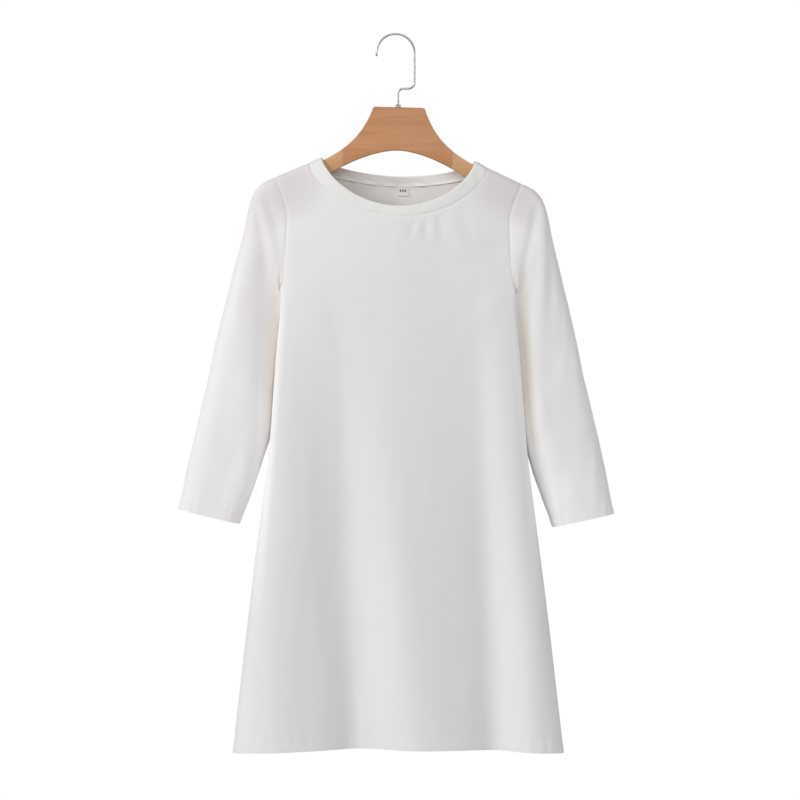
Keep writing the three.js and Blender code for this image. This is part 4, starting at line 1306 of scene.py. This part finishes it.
class BuildHanger(bpy.types.Operator):
    """Builds the wooden hanger's centre and arms, its wire hook and its nut"""

    bl_idname = "dress.build_hanger"
    bl_label = "Build Hanger"

    def execute(self, context):
        settings = settings_of(context).hanger
        tilt = math.atan(TILT)
        centre_wood = wood_material("beech", settings.wood_light, settings.wood_dark, 0.0)
        arm_wood = wood_material("pale_beech", settings.arm_light, settings.arm_dark, 3.7)
        top = edge_between(TOP_EDGE, TOP_EDGE[0, 0], WOOD_JOINT)
        low = edge_between(LOWER_EDGE, 0, WOOD_JOINT)
        half = np.vstack([[(32.5, 0), (35.2, 0.8), (37, 3)], top, low[::-1]])
        outline = np.vstack([half, (half * (-1, 1))[-2::-1]])
        centre = board("hanger_centre_wood", outline, settings, tilt)
        finish_piece(centre, centre_wood, "beech", "hanger_centre")
        start = WOOD_JOINT + JOINT_GAP
        top = edge_between(TOP_EDGE, start, TOP_EDGE[-1, 0])
        low = edge_between(LOWER_EDGE, start, LOWER_EDGE[-1, 0])
        tip = [(187.6, 115.8), (189.6, 119.5), (189.2, 124.5), (186.5, 129)]
        arm = np.vstack([top, tip, low[::-1]])
        for side, name in ((1, "hanger_arm_left"), (-1, "hanger_arm_right")):
            piece = board(name + "_wood", arm * (side, 1), settings, tilt)
            finish_piece(piece, arm_wood, "pale_beech", name)
        steel = steel_material("steel_wire", settings.steel_colour)
        wire = settings.wire_radius / MM
        finish_piece(sweep("hook_wire", hook_path(wire), wire, 20), steel, "steel", "hanger_hook")
        base = -WOOD_TOP + JOINT_GAP
        nut = [(1.7, 0.4), (2.1, 0), (3.5, 0), (3.9, 0.4), (3.9, 3.2), (3.5, 3.6), (2.1, 3.6), (1.7, 3.2)]
        profile = [(r, base + h) for r, h in nut]
        finish_piece(lathe("hook_nut_steel", profile, (CENTRE_X, 0), 32), steel, "steel", "hook_nut")
        return {"FINISHED"}


class BuildStage(bpy.types.Operator):
    """Sets up the camera, a plain pale floor and soft studio light"""

    bl_idname = "dress.build_stage"
    bl_label = "Build Stage"

    def execute(self, context):
        settings = settings_of(context).stage
        scene = context.scene
        low, high = CAD_BOX
        camera = bpy.data.objects.new("camera", bpy.data.cameras.new("camera"))
        scene.collection.objects.link(camera)
        camera.location = (0.007, -settings.camera_distance, -0.511)
        camera.rotation_euler = (math.pi / 2, 0, 0)
        camera.data.angle = 2 * math.atan(settings.view_width / 2 / settings.camera_distance)
        camera.data.clip_end = 60
        scene.camera = camera
        middle = ((low[0] + high[0]) / 2, 0.0, (low[2] + high[2]) / 2)
        self.light("key_light", (-3.6, -2.65, 1.5), middle, settings.key_power, 2.3)
        self.light("fill_light", (0.3, -5.8, 2.6), middle, settings.fill_power, 4.0)
        self.light("left_light", (-8.0, -0.8, 0.6), middle, settings.side_power * 0.3, 4.0)
        self.light("right_light", (8.0, -1.2, 0.6), middle, settings.side_power, 4.0)
        self.light("back_light", (-3.2, 5.6, 1.6), middle, settings.side_power * 0.6, 3.0)
        self.floor(scene, settings)
        self.sky(scene, settings)
        scene.view_settings.view_transform = "Standard"
        return {"FINISHED"}

    @staticmethod
    def light(name, place_at, target, power, size):
        data = bpy.data.lights.new(name, "AREA")
        data.energy, data.size, data.shape = power, size, "DISK"
        light = bpy.data.objects.new(name, data)
        bpy.context.scene.collection.objects.link(light)
        light.location = place_at
        way = np.array(target) - np.array(place_at)
        yaw = math.atan2(way[1], way[0]) - math.pi / 2
        pitch = math.atan2(way[2], math.hypot(way[0], way[1])) + math.pi / 2
        light.rotation_euler = (pitch, 0, yaw)

    @staticmethod
    def floor(scene, settings):
        sides = 96
        angle = np.arange(sides) / sides * math.tau
        radius = settings.floor_radius / MM
        level = 0 * angle - settings.floor_drop / MM
        rim = np.stack([radius * np.cos(angle), radius * np.sin(angle), level], axis=-1)
        floor = new_piece("floor", rim, [tuple(range(sides))])
        floor.data.materials.append(floor_material("pale_floor", settings.floor_colour))

    @staticmethod
    def sky(scene, settings):
        world = bpy.data.worlds.new("studio")
        world.use_nodes = True
        scene.world = world
        tree = world.node_tree
        back = tree.nodes["Background"]
        back.inputs["Color"].default_value = (1, 1, 1, 1)
        seen = tree.nodes.new("ShaderNodeLightPath").outputs["Is Camera Ray"]
        level = tree.nodes.new("ShaderNodeMix")
        level.inputs[2].default_value = settings.sky_level
        level.inputs[3].default_value = 1.0
        tree.links.new(seen, level.inputs[0])
        tree.links.new(level.outputs[0], back.inputs["Strength"])


class DressPanel(bpy.types.Panel):
    """Lists the steps that build the dress on its hanger"""

    bl_idname = "VIEW3D_PT_dress_on_hanger"
    bl_label = "Dress on a Hanger"
    bl_space_type = "VIEW_3D"
    bl_region_type = "UI"
    bl_category = "Dress"

    def draw(self, context):
        for step in STEPS:
            self.layout.operator(step.bl_idname)
        settings = settings_of(context)
        for group in (settings.dress, settings.hanger, settings.stage):
            box = self.layout.box()
            for name in group.__annotations__:
                box.prop(group, name)


STEPS = (BuildStage, BuildDress, BuildNeck, BuildHanger)
CLASSES = (DressSettings, HangerSettings, StageSettings, DressScene, *STEPS, DressPanel)


def register():
    for cls in CLASSES:
        bpy.utils.register_class(cls)
    bpy.types.Scene.dress_on_hanger = bpy.props.PointerProperty(type=DressScene)


def unregister():
    del bpy.types.Scene.dress_on_hanger
    for cls in reversed(CLASSES):
        bpy.utils.unregister_class(cls)


def main():
    register()
    for step in STEPS:
        namespace, name = step.bl_idname.split(".")
        if getattr(getattr(bpy.ops, namespace), name)() != {"FINISHED"}:
            raise RuntimeError(f"{step.bl_label} did not finish")


if __name__ == "__main__":
    main()
